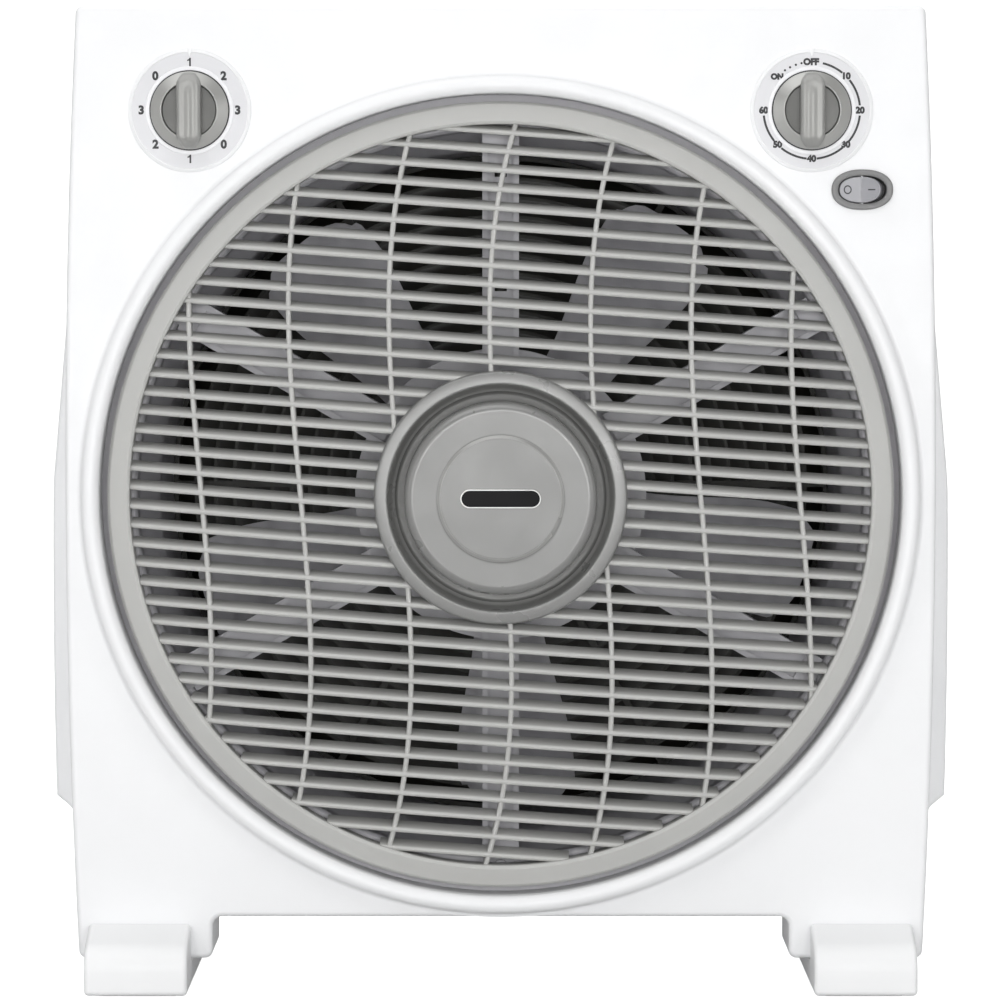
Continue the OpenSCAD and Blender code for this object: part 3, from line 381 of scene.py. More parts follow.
def run_tree(mesh, tree, values):
    """Runs a tree on a mesh and gives back the resulting plain mesh."""
    obj = linked("work", mesh)
    mod = obj.modifiers.new("tree", "NODES")
    mod.node_group = tree
    ids = {s.name: s.identifier for s in tree.interface.items_tree if s.in_out == "INPUT"}
    for label, value in values.items():
        mod[ids[label]] = value
    bpy.context.view_layer.update()
    deps = bpy.context.evaluated_depsgraph_get()
    result = bpy.data.meshes.new_from_object(obj.evaluated_get(deps), preserve_all_data_layers=True, depsgraph=deps)
    obj.modifiers.clear()
    bpy.data.objects.remove(obj)
    return result


def wire(tree, *links):
    """Links (node, output, node, input) in a tree."""
    for source, output, target, socket in links:
        tree.links.new(source.outputs[output], target.inputs[socket])


def bar_tree():
    """Bars with rounded front edges swept along paths. The paths run level, and depth goes back from them."""
    tree, start, end = node_tree("bars_along_paths", [
        ("Thickness", "Float"), ("Depth", "Float"), ("Tilt", "Float"), ("Edge Radius", "Float"),
        ("Finish", "Material")])
    n = tree.nodes
    to_curve = n.new("GeometryNodeMeshToCurve")
    normal = n.new("GeometryNodeSetCurveNormal")
    normal.mode = "Z_UP"
    outline = n.new("GeometryNodeCurvePrimitiveQuadrilateral")
    rounded = n.new("GeometryNodeFilletCurve")
    rounded.mode = "POLY"
    rounded.inputs["Count"].default_value = 3
    back = n.new("GeometryNodeTransform")
    half = n.new("ShaderNodeMath")
    half.operation = "MULTIPLY"
    half.inputs[1].default_value = -0.5
    shift = n.new("ShaderNodeCombineXYZ")
    tilt = n.new("GeometryNodeTransform")
    turn = n.new("ShaderNodeCombineXYZ")
    sweep = n.new("GeometryNodeCurveToMesh")
    sweep.inputs["Fill Caps"].default_value = True
    paint = n.new("GeometryNodeSetMaterial")
    real = n.new("GeometryNodeRealizeInstances")
    wire(tree, (start, "Depth", outline, "Width"), (start, "Thickness", outline, "Height"),
         (outline, "Curve", rounded, "Curve"), (start, "Edge Radius", rounded, "Radius"),
         (rounded, "Curve", back, "Geometry"), (start, "Depth", half, 0), (half, 0, shift, "X"),
         (shift, 0, back, "Translation"), (back, 0, tilt, "Geometry"), (start, "Tilt", turn, "Z"),
         (turn, 0, tilt, "Rotation"), (start, "Geometry", to_curve, "Mesh"), (to_curve, "Curve", normal, "Curve"),
         (normal, "Curve", sweep, "Curve"), (tilt, 0, sweep, "Profile Curve"), (sweep, "Mesh", real, "Geometry"),
         (real, 0, paint, "Geometry"), (start, "Finish", paint, "Material"), (paint, 0, end, "Geometry"))
    return tree


def copies_tree():
    """Copies of a piece at each point of the input, turned by the point's own rotation."""
    tree, start, end = node_tree("copies_at_points", [("Piece", "Object"), ("Finish", "Material")])
    n = tree.nodes
    info = n.new("GeometryNodeObjectInfo")
    turn = n.new("GeometryNodeInputNamedAttribute")
    turn.data_type = "FLOAT_VECTOR"
    turn.inputs["Name"].default_value = "turn"
    place = n.new("GeometryNodeInstanceOnPoints")
    real = n.new("GeometryNodeRealizeInstances")
    paint = n.new("GeometryNodeSetMaterial")
    wire(tree, (start, "Piece", info, "Object"), (start, "Geometry", place, "Points"),
         (info, "Geometry", place, "Instance"), (turn, "Attribute", place, "Rotation"),
         (place, "Instances", real, "Geometry"), (real, 0, paint, "Geometry"),
         (start, "Finish", paint, "Material"), (paint, 0, end, "Geometry"))
    return tree


bars_along_paths = bar_tree()
copies_at_points = copies_tree()


def copies(master, places, finish):
    """A mesh with a copy of the master object at each (point, rotation)."""
    mesh = bpy.data.meshes.new("points")
    mesh.from_pydata([tuple(p) for p, _ in places], [], [])
    turns = mesh.attributes.new("turn", "FLOAT_VECTOR", "POINT")
    turns.data.foreach_set("vector", [c for _, t in places for c in t])
    return run_tree(mesh, copies_at_points, {"Piece": master, "Finish": finish})


# ---- Body ----

edge_r = 2.4 * MM
housing_screw_places = [(s * (half_w - 17 * MM), z) for s in (-1, 1) for z in (belly_z + 26 * MM, body_top - 19 * MM)]
half_h = body_top - fan_z
bow_r = (half_h ** 2 + side_bow ** 2) / (2 * side_bow)


def side_x(z):
    return half_w - bow_r + sqrt(bow_r ** 2 - (z - fan_z) ** 2)


def body_outline(step):
    """The outline of the body from the front, with its legs narrower by step."""
    inner = leg_in + step
    heights = [leg_z + (body_top - leg_z) * k / 40 for k in range(41)]
    right = [(inner, belly_z), (inner, leg_z)] + [(side_x(z), z) for z in heights]
    radii = mm(4.5, 3.6, 3.6) + [0] * 39 + mm(3.4)
    return soften(right + [(-x, z) for x, z in reversed(right)], radii + radii[::-1], 8)


outline = body_outline(0)
rear_outline = body_outline(leg_step)


def start_edge(shell, outline, y, r, steps=6):
    """Rings of the rounded edge of a face at y, from the face onward."""
    turns = [pi / 2 * k / steps for k in range(steps + 1)]
    return [shell.ring(inward(outline, r * (1 - sin(t))), y + r * (1 - cos(t))) for t in turns]


def end_edge(shell, outline, y, r, way=1, steps=6):
    """Rings of the rounded edge that ends at a face at y. way is 1 where y grows toward the face, and -1 otherwise."""
    turns = [pi / 2 * k / steps for k in range(steps + 1)]
    return [shell.ring(inward(outline, r * (1 - cos(t))), y - way * r * (1 - sin(t))) for t in turns]


def hole_rings(shell, stations, at, count=192):
    """Rings of a round hole from (radius, y) stations."""
    return [shell.ring(circle(r, at, count), y) for r, y in stations]


def oval(a, b, at=(0, 0), count=64):
    """A soft oval with half width a and half height b."""
    power = 2 / 2.25
    pts = []
    for k in range(count):
        c, s = cos(TAU * k / count), sin(TAU * k / count)
        pts.append((at[0] + a * copysign(abs(c) ** power, c), at[1] + b * copysign(abs(s) ** power, s)))
    return pts


def front_shell():
    shell = Shell()
    outer = [shell.ring(outline, joint_y)] + end_edge(shell, outline, face_y, edge_r, -1)
    shell.walls(outer)
    inner_face = shell.ring(inward(outline, wall), face_y + wall)
    inner_open = shell.ring(inward(outline, wall), joint_y)
    shell.wall(inner_face, inner_open)
    shell.wall(inner_open, outer[0])
    # The lip around the opening, with a soft foot where it grows out of the panel
    lip_c = opening_r + lip_w / 2
    stations = arc(opening_r + lip_w + 2.2 * MM, face_y - 2.2 * MM, 2.2 * MM, 90, 180, 4)
    stations += arc(lip_c, lip_y + lip_w / 2, lip_w / 2, 0, -180, 12)
    stations += [(opening_r, face_y + 14 * MM), (opening_r + wall, face_y + 14 * MM),
                 (opening_r + wall, face_y + wall)]
    lip = hole_rings(shell, stations, fan_at, 256)
    shell.walls(lip)
    front_holes, inner_holes = [lip[0]], [lip[-1]]
    pocket = dial_hi.x - timer_at[0] + 0.15 * MM
    for at in (speed_at, timer_at):
        rings = hole_rings(shell, [(pocket + 0.25 * MM, face_y), (pocket, face_y + 0.2 * MM),
                                   (pocket, face_y + 0.7 * MM), (4.8 * MM, face_y + 0.7 * MM),
                                   (4.8 * MM, face_y + wall)], at, 96)
        shell.walls(rings)
        front_holes.append(rings[0])
        inner_holes.append(rings[-1])
    a, b = bezel_hi.x - pivot.x - 1.9 * MM, bezel_hi.z - pivot.z - 1.9 * MM
    rings = [shell.ring(oval(a, b, rocker_at), y) for y in (face_y, face_y + wall)]
    shell.walls(rings)
    front_holes.append(rings[0])
    inner_holes.append(rings[-1])
    shell.flat(outer[-1], *front_holes)
    shell.flat(inner_face, *inner_holes)
    return shell.piece("front_housing_shell", body_plastic, slot="body_white", replaces=("front_housing",), sharp=40)


def pod_outline(side):
    """Outline of one side pod, clipped by its bowed outer side."""
    pod_out = rear_hi.x - half_w
    bow, zc = 3880 * MM, fan_z - 47 * MM
    cx = half_w + pod_out - bow
    bottom, top = 81 * MM, fan_z + 156 * MM
    corners = [
        (half_w - 14 * MM, bottom - 24 * MM), (half_w + pod_out - 7 * MM, bottom - 3 * MM),
        (half_w + pod_out, bottom + 3 * MM), (half_w + pod_out, fan_z), (half_w - 3 * MM, top), (half_w - 14 * MM, top)]
    pts = []
    for (x0, z0), (x1, z1) in zip(corners, corners[1:] + corners[:1]):
        for k in range(24):
            x, z = x0 + (x1 - x0) * k / 24, z0 + (z1 - z0) * k / 24
            pts.append((min(x, cx + sqrt(bow ** 2 - (z - zc) ** 2)), z))
    return pts if side > 0 else [(-x, z) for x, z in reversed(pts)]


def rear_shell():
    shell = Shell()
    front_y, back_in = joint_y + 0.25 * MM, back_y - wall
    outer = [shell.ring(rear_outline, front_y)] + end_edge(shell, rear_outline, back_y, 2.8 * MM)
    shell.walls(outer)
    inner_open, inner_face = [shell.ring(inward(rear_outline, wall), y) for y in (front_y, back_in)]
    shell.wall(outer[0], inner_open)
    shell.wall(inner_open, inner_face)
    holes_out, holes_in = [], []
    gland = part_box("cord_gland")[0]
    for r, at, count in ((duct_r, fan_at, 192), (5.7 * MM, (gland.x + 7.6 * MM, gland.z + 7.6 * MM), 48)):
        rings = hole_rings(shell, [(r, back_y), (r, back_in)], at, count)
        shell.walls(rings)
        holes_out.append(rings[0])
        holes_in.append(rings[1])
    # The recess for carrying
    x0, z0, z1, deep = 58 * MM, body_top - 43 * MM, body_top - 13 * MM, 30
    recess = soften([(-x0, z0), (x0, z0), (x0, z1), (-x0, z1)], 7 * MM, 6)
    rings = [shell.ring(inward(recess, d * MM), back_y - y * MM) for d, y in (
        (-2, 0), (-0.6, 0.6), (0, 2), (0, deep - 3), (0.9, deep - 0.9), (3, deep))]
    shell.walls(rings)
    shell.flat(rings[-1])
    holes_out.append(rings[0])
    rings = [shell.ring(inward(recess, -wall), y) for y in (back_in, back_in - deep * MM)]
    shell.walls(rings)
    shell.flat(rings[-1])
    holes_in.append(rings[0])
    # Deep wells for the four housing screws
    for at in housing_screw_places:
        for holes, stations in (
                (holes_out, [(4.6 * MM, back_y), (3.8 * MM, back_y - 0.8 * MM), (3.7 * MM, joint_y + 7 * MM)]),
                (holes_in, [(6 * MM, back_in), (6 * MM, joint_y + 4 * MM)])):
            rings = hole_rings(shell, stations, at, 32)
            shell.walls(rings)
            shell.flat(rings[-1])
            holes.append(rings[0])
    shell.flat(outer[-1], *holes_out)
    shell.flat(inner_face, *holes_in)
    # Side pods
    for side in (-1, 1):
        pod = pod_outline(side)
        shell.solid(start_edge(shell, pod, front_y, 1.5 * MM, 4) + end_edge(shell, pod, back_y - 14 * MM, 4 * MM))
    return shell.piece("rear_housing_shell", body_plastic, slot="body_white", replaces=("rear_housing",), sharp=40)


def foot_piece(name, side, node):
    """A foot with softly rounded edges: a low block in front and behind, joined by a bar under the leg."""
    y0, y1 = foot_lo.y, foot_hi.y
    z0, z1, end_z = foot_lo.z, foot_hi.z, 22 * MM
    front, back = face_y - 0.3 * MM, back_y + 0.3 * MM
    profile = [(y1, z0), (y1, end_z), (back, z1), (back, leg_z), (front, leg_z), (front, z1), (y0, end_z), (y0, z0)]
    profile = soften(profile, mm(2.5, 14, 2.4, 0.6, 0.6, 2.4, 14, 2.5), 8)
    lo, hi = (foot_lo.x, foot_hi.x) if side > 0 else (-foot_hi.x, -foot_lo.x)
    shell = Shell("X")
    shell.solid(start_edge(shell, profile, lo, 2.2 * MM) + end_edge(shell, profile, hi, 2.2 * MM))
    return shell.piece(name, foot_plastic, slot="body_white", replaces=(node,), sharp=40)


def foot_piece(name, side, node):
    """A foot with softly rounded edges: a low block in front and behind, joined by a bar under the leg."""
    y0, y1 = foot_lo.y, foot_hi.y
    z0, z1, end_z = foot_lo.z, foot_hi.z, 22 * MM
    gap = 0.3 * MM
    profile = [(y0, z0), (y0, end_z), (face_y - gap, z1), (face_y - gap, leg_z), (back_y + gap, leg_z),
               (back_y + gap, z1), (y1, end_z), (y1, z0)]
    radii = [2.5, 14, 2.4, 0.6, 0.6, 2.4, 14, 2.5]
    profile = soften(list(reversed(profile)), [r * MM for r in reversed(radii)], 8)
    lo, hi = (foot_lo.x, foot_hi.x) if side > 0 else (-foot_hi.x, -foot_lo.x)
    shell = Shell("X")
    r = 2.2 * MM
    rings = []
    for k in range(7):
        t = pi / 2 * k / 6
        rings.append(shell.ring(inward(profile, r * (1 - sin(t))), lo + r * (1 - cos(t))))
    for k in range(7):
        t = pi / 2 * k / 6
        rings.append(shell.ring(inward(profile, r * (1 - cos(t))), hi - r * (1 - sin(t))))
    shell.walls(rings)
    shell.flat(rings[0])
    shell.flat(rings[-1])
    return shell.piece(name, foot_plastic, slot="body_white", replaces=(node,), sharp=40)


front_shell()
rear_shell()
foot_piece("foot_right", 1, "right_foot")
foot_piece("foot_left", -1, "left_foot")

# ---- Duct behind the grille ----

flange_y = duct_lo.y
duct_front_r = opening_r - 16 * MM
duct_profile = along(opening_r, flange_y, (5, 0), (5, 2.5))
duct_profile += along(duct_front_r, flange_y, (4, 2.5), (2.2, 5), (2.2, 8)) + along(duct_r, -20 * MM, (2.2, 0))
duct_profile += along(duct_r, duct_hi.y, (2.2, 0), (0, 0)) + along(duct_r, -20 * MM, (0, 0))
duct_profile += along(duct_front_r, flange_y, (0, 8), (0, 0))
duct_radii = mm(0.5, 0.5, 1, 2, 6, 14, 0.6, 0.6, 14, 6, 1.6)
duct = turned_piece("duct_ring", [soften(duct_profile, duct_radii, 5)], fan_at, duct_plastic, duct_flange_painted_light,
                    slot="inner_grey", replaces=("air_duct",), sharp=50)
# The flange faces take the lighter violet grey, painted light on this shaded band.
for face in duct.data.polygons:
    if from_axis(face.center, fan_at) > duct_front_r + 5 * MM:
        face.material_index = 1

# ---- Turning grille ----

grille_turn = radians(4.25)
rib_pitch = 45.2 * MM
slat_pitch = 8.55 * MM
hub_clear_r = 51.6 * MM


def dome_y(x, w):
    """Front of the dome at a place in the grille's own frame."""
    r = min(1.0, hypot(x, w) / rim_in_r)
    big = (rim_in_r ** 2 + dome_h ** 2) / (2 * dome_h)
    return dome_edge_y - dome_h + big - sqrt(big ** 2 - (r * rim_in_r) ** 2)


def rib_x(w):
    t = w / rim_in_r
    return (-27.7 * t + 22 * t ** 3) * MM


def spans(path, steps, lift=0.0):
    """The stretches of path(s) between the hub and the rim, for s across the grille. lift is how far a bar's back
    stands higher than its path."""
    out, run = [], []
    fine = 1200
    for k in range(-fine, fine + 1):
        x, w = path(rim_in_r * 1.02 * k / fine)
        far = hypot(x, w)
        inside = hub_clear_r < min(far, hypot(x, w + lift)) and far < rim_in_r + 1.2 * MM
        if inside:
            run.append((x, w))
        if run and (not inside or k == fine):
            if len(run) > 6:
                out.append([run[round(i * (len(run) - 1) / steps)] for i in range(steps + 1)])
            run = []
    return out


def paths_mesh(paths):
    """Edges along each path. A path is a list of points."""
    verts, edges = [], []
    for p in paths:
        edges += [(len(verts) + i, len(verts) + i + 1) for i in range(len(p) - 1)]
        verts += p
    mesh = bpy.data.meshes.new("paths")
    mesh.from_pydata(verts, edges, [])
    return mesh


slat_paths = []
slats_each_side = 19
for n in range(-slats_each_side, slats_each_side + 1):
    for run in spans(lambda s, w=n * slat_pitch: (s, w), 28, 4 * MM):
        slat_paths.append([(x, dome_y(x, v), v) for x, v in run])
rib_paths = []
for n in range(-3, 4):
    for run in spans(lambda s, x0=n * rib_pitch: (x0 + rib_x(s), s), 44):
        rib_paths.append([(w, dome_y(x, w) + 0.35 * MM, -x) for x, w in run])


def grille_bars(paths, thickness, depth, tilt, quarter=0.0):
    """Bars along the paths, turned to the grille's rest angle about the fan's axis."""
    mesh = run_tree(paths_mesh(paths), bars_along_paths, {
        "Thickness": thickness, "Depth": depth, "Tilt": tilt, "Edge Radius": 1.0 * MM, "Finish": grille_plastic})
    mesh.transform(Matrix.Translation((0, 0, fan_z)) @ Matrix.Rotation(grille_turn + quarter, 4, "Y"))
    mesh.materials.clear()
    return mesh


slats = grille_bars(slat_paths, 2.35 * MM, 10 * MM, radians(16))
ribs = grille_bars(rib_paths, 2.3 * MM, 9.6 * MM, 0.0, -pi / 2)

rim_back_y = face_y + 8 * MM
rim_front_y = face_y - 4 * MM
rim_front_in, rim_step = rim_in_r + 2.5 * MM, rim_front_y + 4 * MM
rim_profile = [
    (rim_in_r, rim_back_y), (rim_in_r, rim_front_y + 0.8 * MM), (rim_in_r + 1.5 * MM, rim_front_y),
    (rim_r - 1.2 * MM, rim_front_y + 2.4 * MM), (rim_r, rim_front_y + 4.2 * MM), (rim_r, rim_back_y),
    (rim_r - 3 * MM, rim_back_y), (rim_r - 3 * MM, rim_step), (rim_front_in, rim_step), (rim_front_in, rim_back_y)]
hub_y = grille_lo.y
floor_y = hub_y + 12 * MM
flange_r = 56.7 * MM
sleeve_r = 30.56 * MM
hub_profile = along(flange_r, hub_y, (-5.9, 0.3), (-0.6, 1.1), (0, 3)) + [
    (flange_r, floor_y + 2 * MM), (sleeve_r + 2.6 * MM, floor_y + 2 * MM), (sleeve_r + 2.6 * MM, face_y + 8 * MM),
    (sleeve_r, face_y + 8 * MM), (sleeve_r, floor_y), (flange_r - 8.2 * MM, floor_y)]


def merge_meshes(name, meshes):
    bm = bmesh.new()
    for m in meshes:
        bm.from_mesh(m)
    out = bpy.data.meshes.new(name)
    bm.to_mesh(out)
    bm.free()
    return out


rings = bmesh.new()
revolve(rings, soften(rim_profile, mm(0.5, 0.8, 0.8, 1.2, 1.2, 0.5, 0.5, 0.5, 0.5, 0.5), 4), fan_at, 256)
revolve(rings, soften(hub_profile, mm(1.0, 1.2, 1.5, 0.6, 2, 0.4, 0.4, 0.4, 3.5), 5), fan_at, 192, 1)
# Inside the hub's flange, the channel floor and sleeve take the dark grey, which is painted shade in the recess. The
# flange's inner wall takes the light grey, which is a painted highlight.
for face in rings.faces:
    c = face.calc_center_median()
    if face.material_index == 1 and from_axis(c, fan_at) < flange_r - 5.5 * MM and c.y > hub_y + 1 * MM:
        face.material_index = 2 if from_axis(c, fan_at) < flange_r - 9.2 * MM else 3
# The ring gear and the web that carries it
gear_in = 37.25 * MM
gear_out = gear_in + 3 * MM
web_y, gear_y0, gear_y1 = [face_y + y for y in mm(7.5, 10, 16)]
revolve(rings, [(gear_in, gear_y0), (gear_out, gear_y0), (gear_out, gear_y1), (gear_in, gear_y1)], fan_at, 144)
revolve(rings, [(sleeve_r, web_y), (gear_out, web_y), (gear_out, gear_y0), (sleeve_r, gear_y0)], fan_at, 144)
finish_piece(merge_meshes("grille", [slats, ribs, to_mesh(rings, "rings")]), "grille_louvers", grille_plastic,
             hub_ring_grey_and_painted_highlight, hub_well_painted_shade, hub_painted_highlight, body="grille", slot="grille_grey",
             replaces=("louver_grille",), sharp=40, weighted=False)

# ---- Fixed cap in the middle ----

cap_r = cap_hi.x
cap_y = cap_lo.y
tube_r = 30.5 * MM
disc_r, edge = 27.6 * MM, 4 * MM
step_y = cap_y + 1.3 * MM
cap_profile = [(0, cap_y + 0.25 * MM)]
cap_profile += along(disc_r, cap_y, (-1.2, 0.25), (-0.75, 0.29), (-0.35, 0.42), (0, 0.68), (0.3, 0.95), (0.65, 1.15),
                     (1.1, 1.27), (1.6, 1.3))
cap_profile += arc(cap_r - edge, step_y + edge, edge, -90, 0, 10)
cap_profile += [(cap_r, cap_y + 8.4 * MM)] + along(cap_r, cap_hi.y, (0, -1), (-2, -1)) + [
    (cap_r - 2 * MM, cap_y + 9.5 * MM), (tube_r, cap_y + 7 * MM), (tube_r, cap_hi.y), (tube_r - 4 * MM, cap_hi.y),
    (tube_r - 4 * MM, cap_y + 3.5 * MM), (0, cap_y + 3.5 * MM)]
# The cap's rounded rim takes the ring grey, lighter than the cap: a painted highlight along the rim.
cap = turned_piece("hub_cap_button", [cap_profile], fan_at, hub_paint, hub_painted_highlight, hub_ring_grey_and_painted_highlight,
                   slot="cap_grey", replaces=("hub_cap",), sharp=50)
# The cap's step ring takes the light grey, a painted highlight.
for face in cap.data.polygons:
    far = from_axis(face.center, fan_at)
    if disc_r - 0.8 * MM < far < disc_r + 0.6 * MM and face.center.y < step_y:
        face.material_index = 1
    elif far > cap_r - edge:
        face.material_index = 2


def pill(a, b, at, count=12):
    pts = []
    for s, start in ((1, -90), (-1, 90)):
        pts += arc(at[0] + s * (a - b), at[1], b, start, start + 180, count)
    return pts


def badge_piece():
    """A plain plate with a bright rim and a dark field."""
    shell = Shell()
    a, b = badge_hi.x, (badge_hi.z - badge_lo.z) / 2
    y = badge_lo.y
    rim = pill(a, b, fan_at)
    stations = [(0, cap_y + 0.9 * MM), (0, y + 0.25 * MM), (0.2, y), (0.45, y), (0.6, y + 0.18 * MM)]
    rings = [shell.ring(inward(rim, d * MM), yy) for d, yy in stations]
    shell.walls(rings)
    before = set(shell.bm.faces)
    shell.flat(rings[-1])
    for f in set(shell.bm.faces) - before:
        f.material_index = 1
    shell.flat(rings[0])
    return shell.piece("hub_badge_plate", badge_rim, badge_field, slot="badge_plate", replaces=("hub_badge",), sharp=30)


badge_piece()

# ---- Fan blades ----

blade_r = blade_hi.x
hub_r = 42 * MM
pitch = radians(35)
camber = 75 * MM
chord_half = 27 * MM / cos(pitch)
centre = sqrt(camber ** 2 - chord_half ** 2)


def smooth_between(table, v):
    """Value at v of a table of (v, value), eased between its entries."""
    for (v0, a), (v1, b) in zip(table, table[1:]):
        if v <= v1:
            t = max(0.0, (v - v0) / (v1 - v0))
            return a + (b - a) * (t * t * (3 - 2 * t) * 0.5 + t * 0.5)
    return table[-1][1]


def blade_mesh():
    """One blade pointing up: a cambered sheet with rounded corners, thicker at the hub."""
    left = [(40, -10), (66, -15), (120, -25), (135, -25), (144, -19), (148, -13)]
    right = [(40, 11), (66, 17), (122, 29), (136, 29), (144, 23), (148, 15)]
    rows, columns = 40, 22
    bm = bmesh.new()
    grids = []
    for side in (1, -1):
        grid = []
        for i in range(rows + 1):
            v = 38.5 + (147.9 - 38.5) * (i / rows) ** 0.9
            x0, x1 = smooth_between(left, v), smooth_between(right, v)
            row = []
            for j in range(columns + 1):
                t = j / columns
                x = (x0 + (x1 - x0) * t) * MM
                z = sqrt(max(0, (min(v * MM, blade_r)) ** 2 - x * x)) if v > 140 else v * MM
                half = (1.1 + 0.5 * (1 - i / rows)) * MM * (1 - 0.62 * (2 * t - 1) ** 8)
                r = camber + side * half
                cx, cy = centre * sin(pitch), -centre * cos(pitch)
                y = cy + sqrt(max(0, r * r - (x - cx) ** 2))
                row.append(bm.verts.new((x, y, z)))
            grid.append(row)
        grids.append(grid)
    top, bottom = grids
    for g, flip in ((top, False), (bottom, True)):
        for i in range(rows):
            for j in range(columns):
                f = (g[i][j], g[i][j + 1], g[i + 1][j + 1], g[i + 1][j])
                bm.faces.new(f if not flip else tuple(reversed(f)))
    for i in range(rows):
        for j in (0, columns):
            bm.faces.new((top[i][j], top[i + 1][j], bottom[i + 1][j], bottom[i][j]))
    for j in range(columns):
        for i in (0, rows):
            bm.faces.new((top[i][j], top[i][j + 1], bottom[i][j + 1], bottom[i][j]))
    return to_mesh(bm, "blade")


blade = linked("blade_master", blade_mesh())
blade_places = [((0, 0, fan_z), (0, radians(90 - 58 - k * 72), 0)) for k in range(5)]
blades = copies(blade, blade_places, blade_plastic)
bpy.data.objects.remove(blade)
blades.materials.clear()
hub = bmesh.new()
hub_y0, hub_y1 = -16 * MM, 14 * MM
hub_outline = [(4 * MM, hub_y0)] + along(hub_r, hub_y0, (-6, 0), (0, 6)) + along(hub_r, hub_y1, (0, 0), (-3, 0))
hub_outline += along(hub_r, hub_y0, (-3, 9), (-9, 3)) + [(9 * MM, hub_y0 + 3 * MM)] + along(0, 0, (9, 6), (4, 6))
revolve(hub, soften(hub_outline, mm(0.5, 5, 5, 0.5, 0.5, 3, 3, 1, 0.5, 0.5), 6), fan_at, 128)
finish_piece(merge_meshes("fan", [blades, to_mesh(hub, "fan_hub")]), "fan_rotor_blades", blade_plastic, body="fan",
             slot="inner_grey", replaces=("fan_blade",), sharp=45, weighted=False)

# ---- Dials and knobs ----

dial_r = dial_hi.x - timer_at[0]
dial_y = dial_lo.y
print_r = 21.6 * MM
ink_low, ink_high = dial_y + 0.02 * MM, dial_y - 0.05 * MM


def dial_piece(name, at, node):
    """A printed ring with a white collar, a thin black ring round the knob that is painted shade where the gap between
    knob and collar falls, and a white bead at its edge.
    """
    profile = soften([(4.8 * MM, dial_hi.y), (4.8 * MM, dial_y), (dial_r, dial_y), (dial_r, dial_hi.y)],
                     mm(0.2, 0.2, 0.5, 0.2), 4)
    bead_radii = mm(0.1, 0.35, 0.35, 0.1)
    collar = soften(along(0, dial_y, (17.9, 0.3), (17.9, -0.55), (19.6, -0.35), (19.9, 0.3)), bead_radii, 4)
    bead = soften(along(dial_r, dial_y, (-1.3, 0.3), (-1.2, -0.45), (0.2, 0.3), (0.45, 1.15)), bead_radii, 4)
    # A thin black ring round the knob: painted shade where the gap between knob and collar would be shaded.
    painted_gap_shade = along(0, dial_y, (16.4, 0.05), (16.4, -0.06), (18.0, -0.06), (18.0, 0.05))
    return turned_piece(name, [profile, collar, bead, painted_gap_shade], at, dial_paint, collar_white, body_plastic, print_and_gap_shade_ink,
                        count=128, slot="dial_grey", replaces=(node,), sharp=40)


def plain_one(bm, at, size):
    """The figure 1 as a bar with a flag."""
    outline = [(-0.02, -0.37), (0.13, -0.37), (0.13, 0.37), (0.01, 0.37), (-0.06, 0.25), (-0.19, 0.19), (-0.19, 0.07),
               (-0.02, 0.13)]
    prism(bm, *[[bm.verts.new((at[0] + u * size, y, at[1] + v * size)) for u, v in outline]
                for y in (ink_low, ink_high)])


def letter_mesh(text, size, at):
    curve = bpy.data.curves.new("letter", "FONT")
    curve.body = text
    curve.size = size
    curve.align_x = "CENTER"
    curve.align_y = "CENTER"
    curve.offset = 0.28 * MM
    curve.extrude = 0.03 * MM
    curve.resolution_u = 3
    obj = linked("letter", curve)
    bpy.context.view_layer.update()
    mesh = bpy.data.meshes.new_from_object(obj.evaluated_get(bpy.context.evaluated_depsgraph_get()))
    bpy.data.objects.remove(obj)
    mesh.transform(Matrix.Translation((at[0], dial_y - 0.02 * MM, at[1])) @ Matrix.Rotation(pi / 2, 4, "X"))
    return mesh


def curved_line(bm, at, a0, a1, half=0.48 * MM, steps=14):
    """A printed line along the circle from one clock angle to another."""
    rows = []
    for k in range(steps + 1):
        (x0, z0), (x1, z1) = [clock_place(at, r, a0 + (a1 - a0) * k / steps) for r in (print_r - half, print_r + half)]
        rows.append([bm.verts.new(p) for p in (
            (x0, ink_high, z0), (x1, ink_high, z1), (x1, ink_low, z1), (x0, ink_low, z0))])
    for a, b in zip(rows, rows[1:]):
        for i in range(4):
            bm.faces.new((a[i - 1], a[i], b[i], b[i - 1]))
    bm.faces.new(rows[0])
    bm.faces.new(rows[-1])


def raised_print(name, at, letters, bands, dots):
    """Printing on a dial: letters (text, angle, size), curved lines (angle from, to) and dots, at clock angles."""
    bm = bmesh.new()
    for text, angle, size in letters:
        place = clock_place(at, print_r, angle)
        if text == "1":
            plain_one(bm, place, size)
        else:
            bm.from_mesh(letter_mesh(text, size, place))
    for a0, a1 in bands:
        curved_line(bm, at, a0, a1)
    for angle in dots:
        dot = [(0, ink_high), (0.52 * MM, ink_high), (0.52 * MM, ink_low), (0, ink_low)]
        revolve(bm, dot, clock_place(at, print_r, angle), 16)
    bmesh.ops.remove_doubles(bm, verts=bm.verts, dist=1e-6)
    return finish_piece(to_mesh(bm, name), name, print_and_gap_shade_ink, slot="dial_grey", sharp=30, weighted=False)


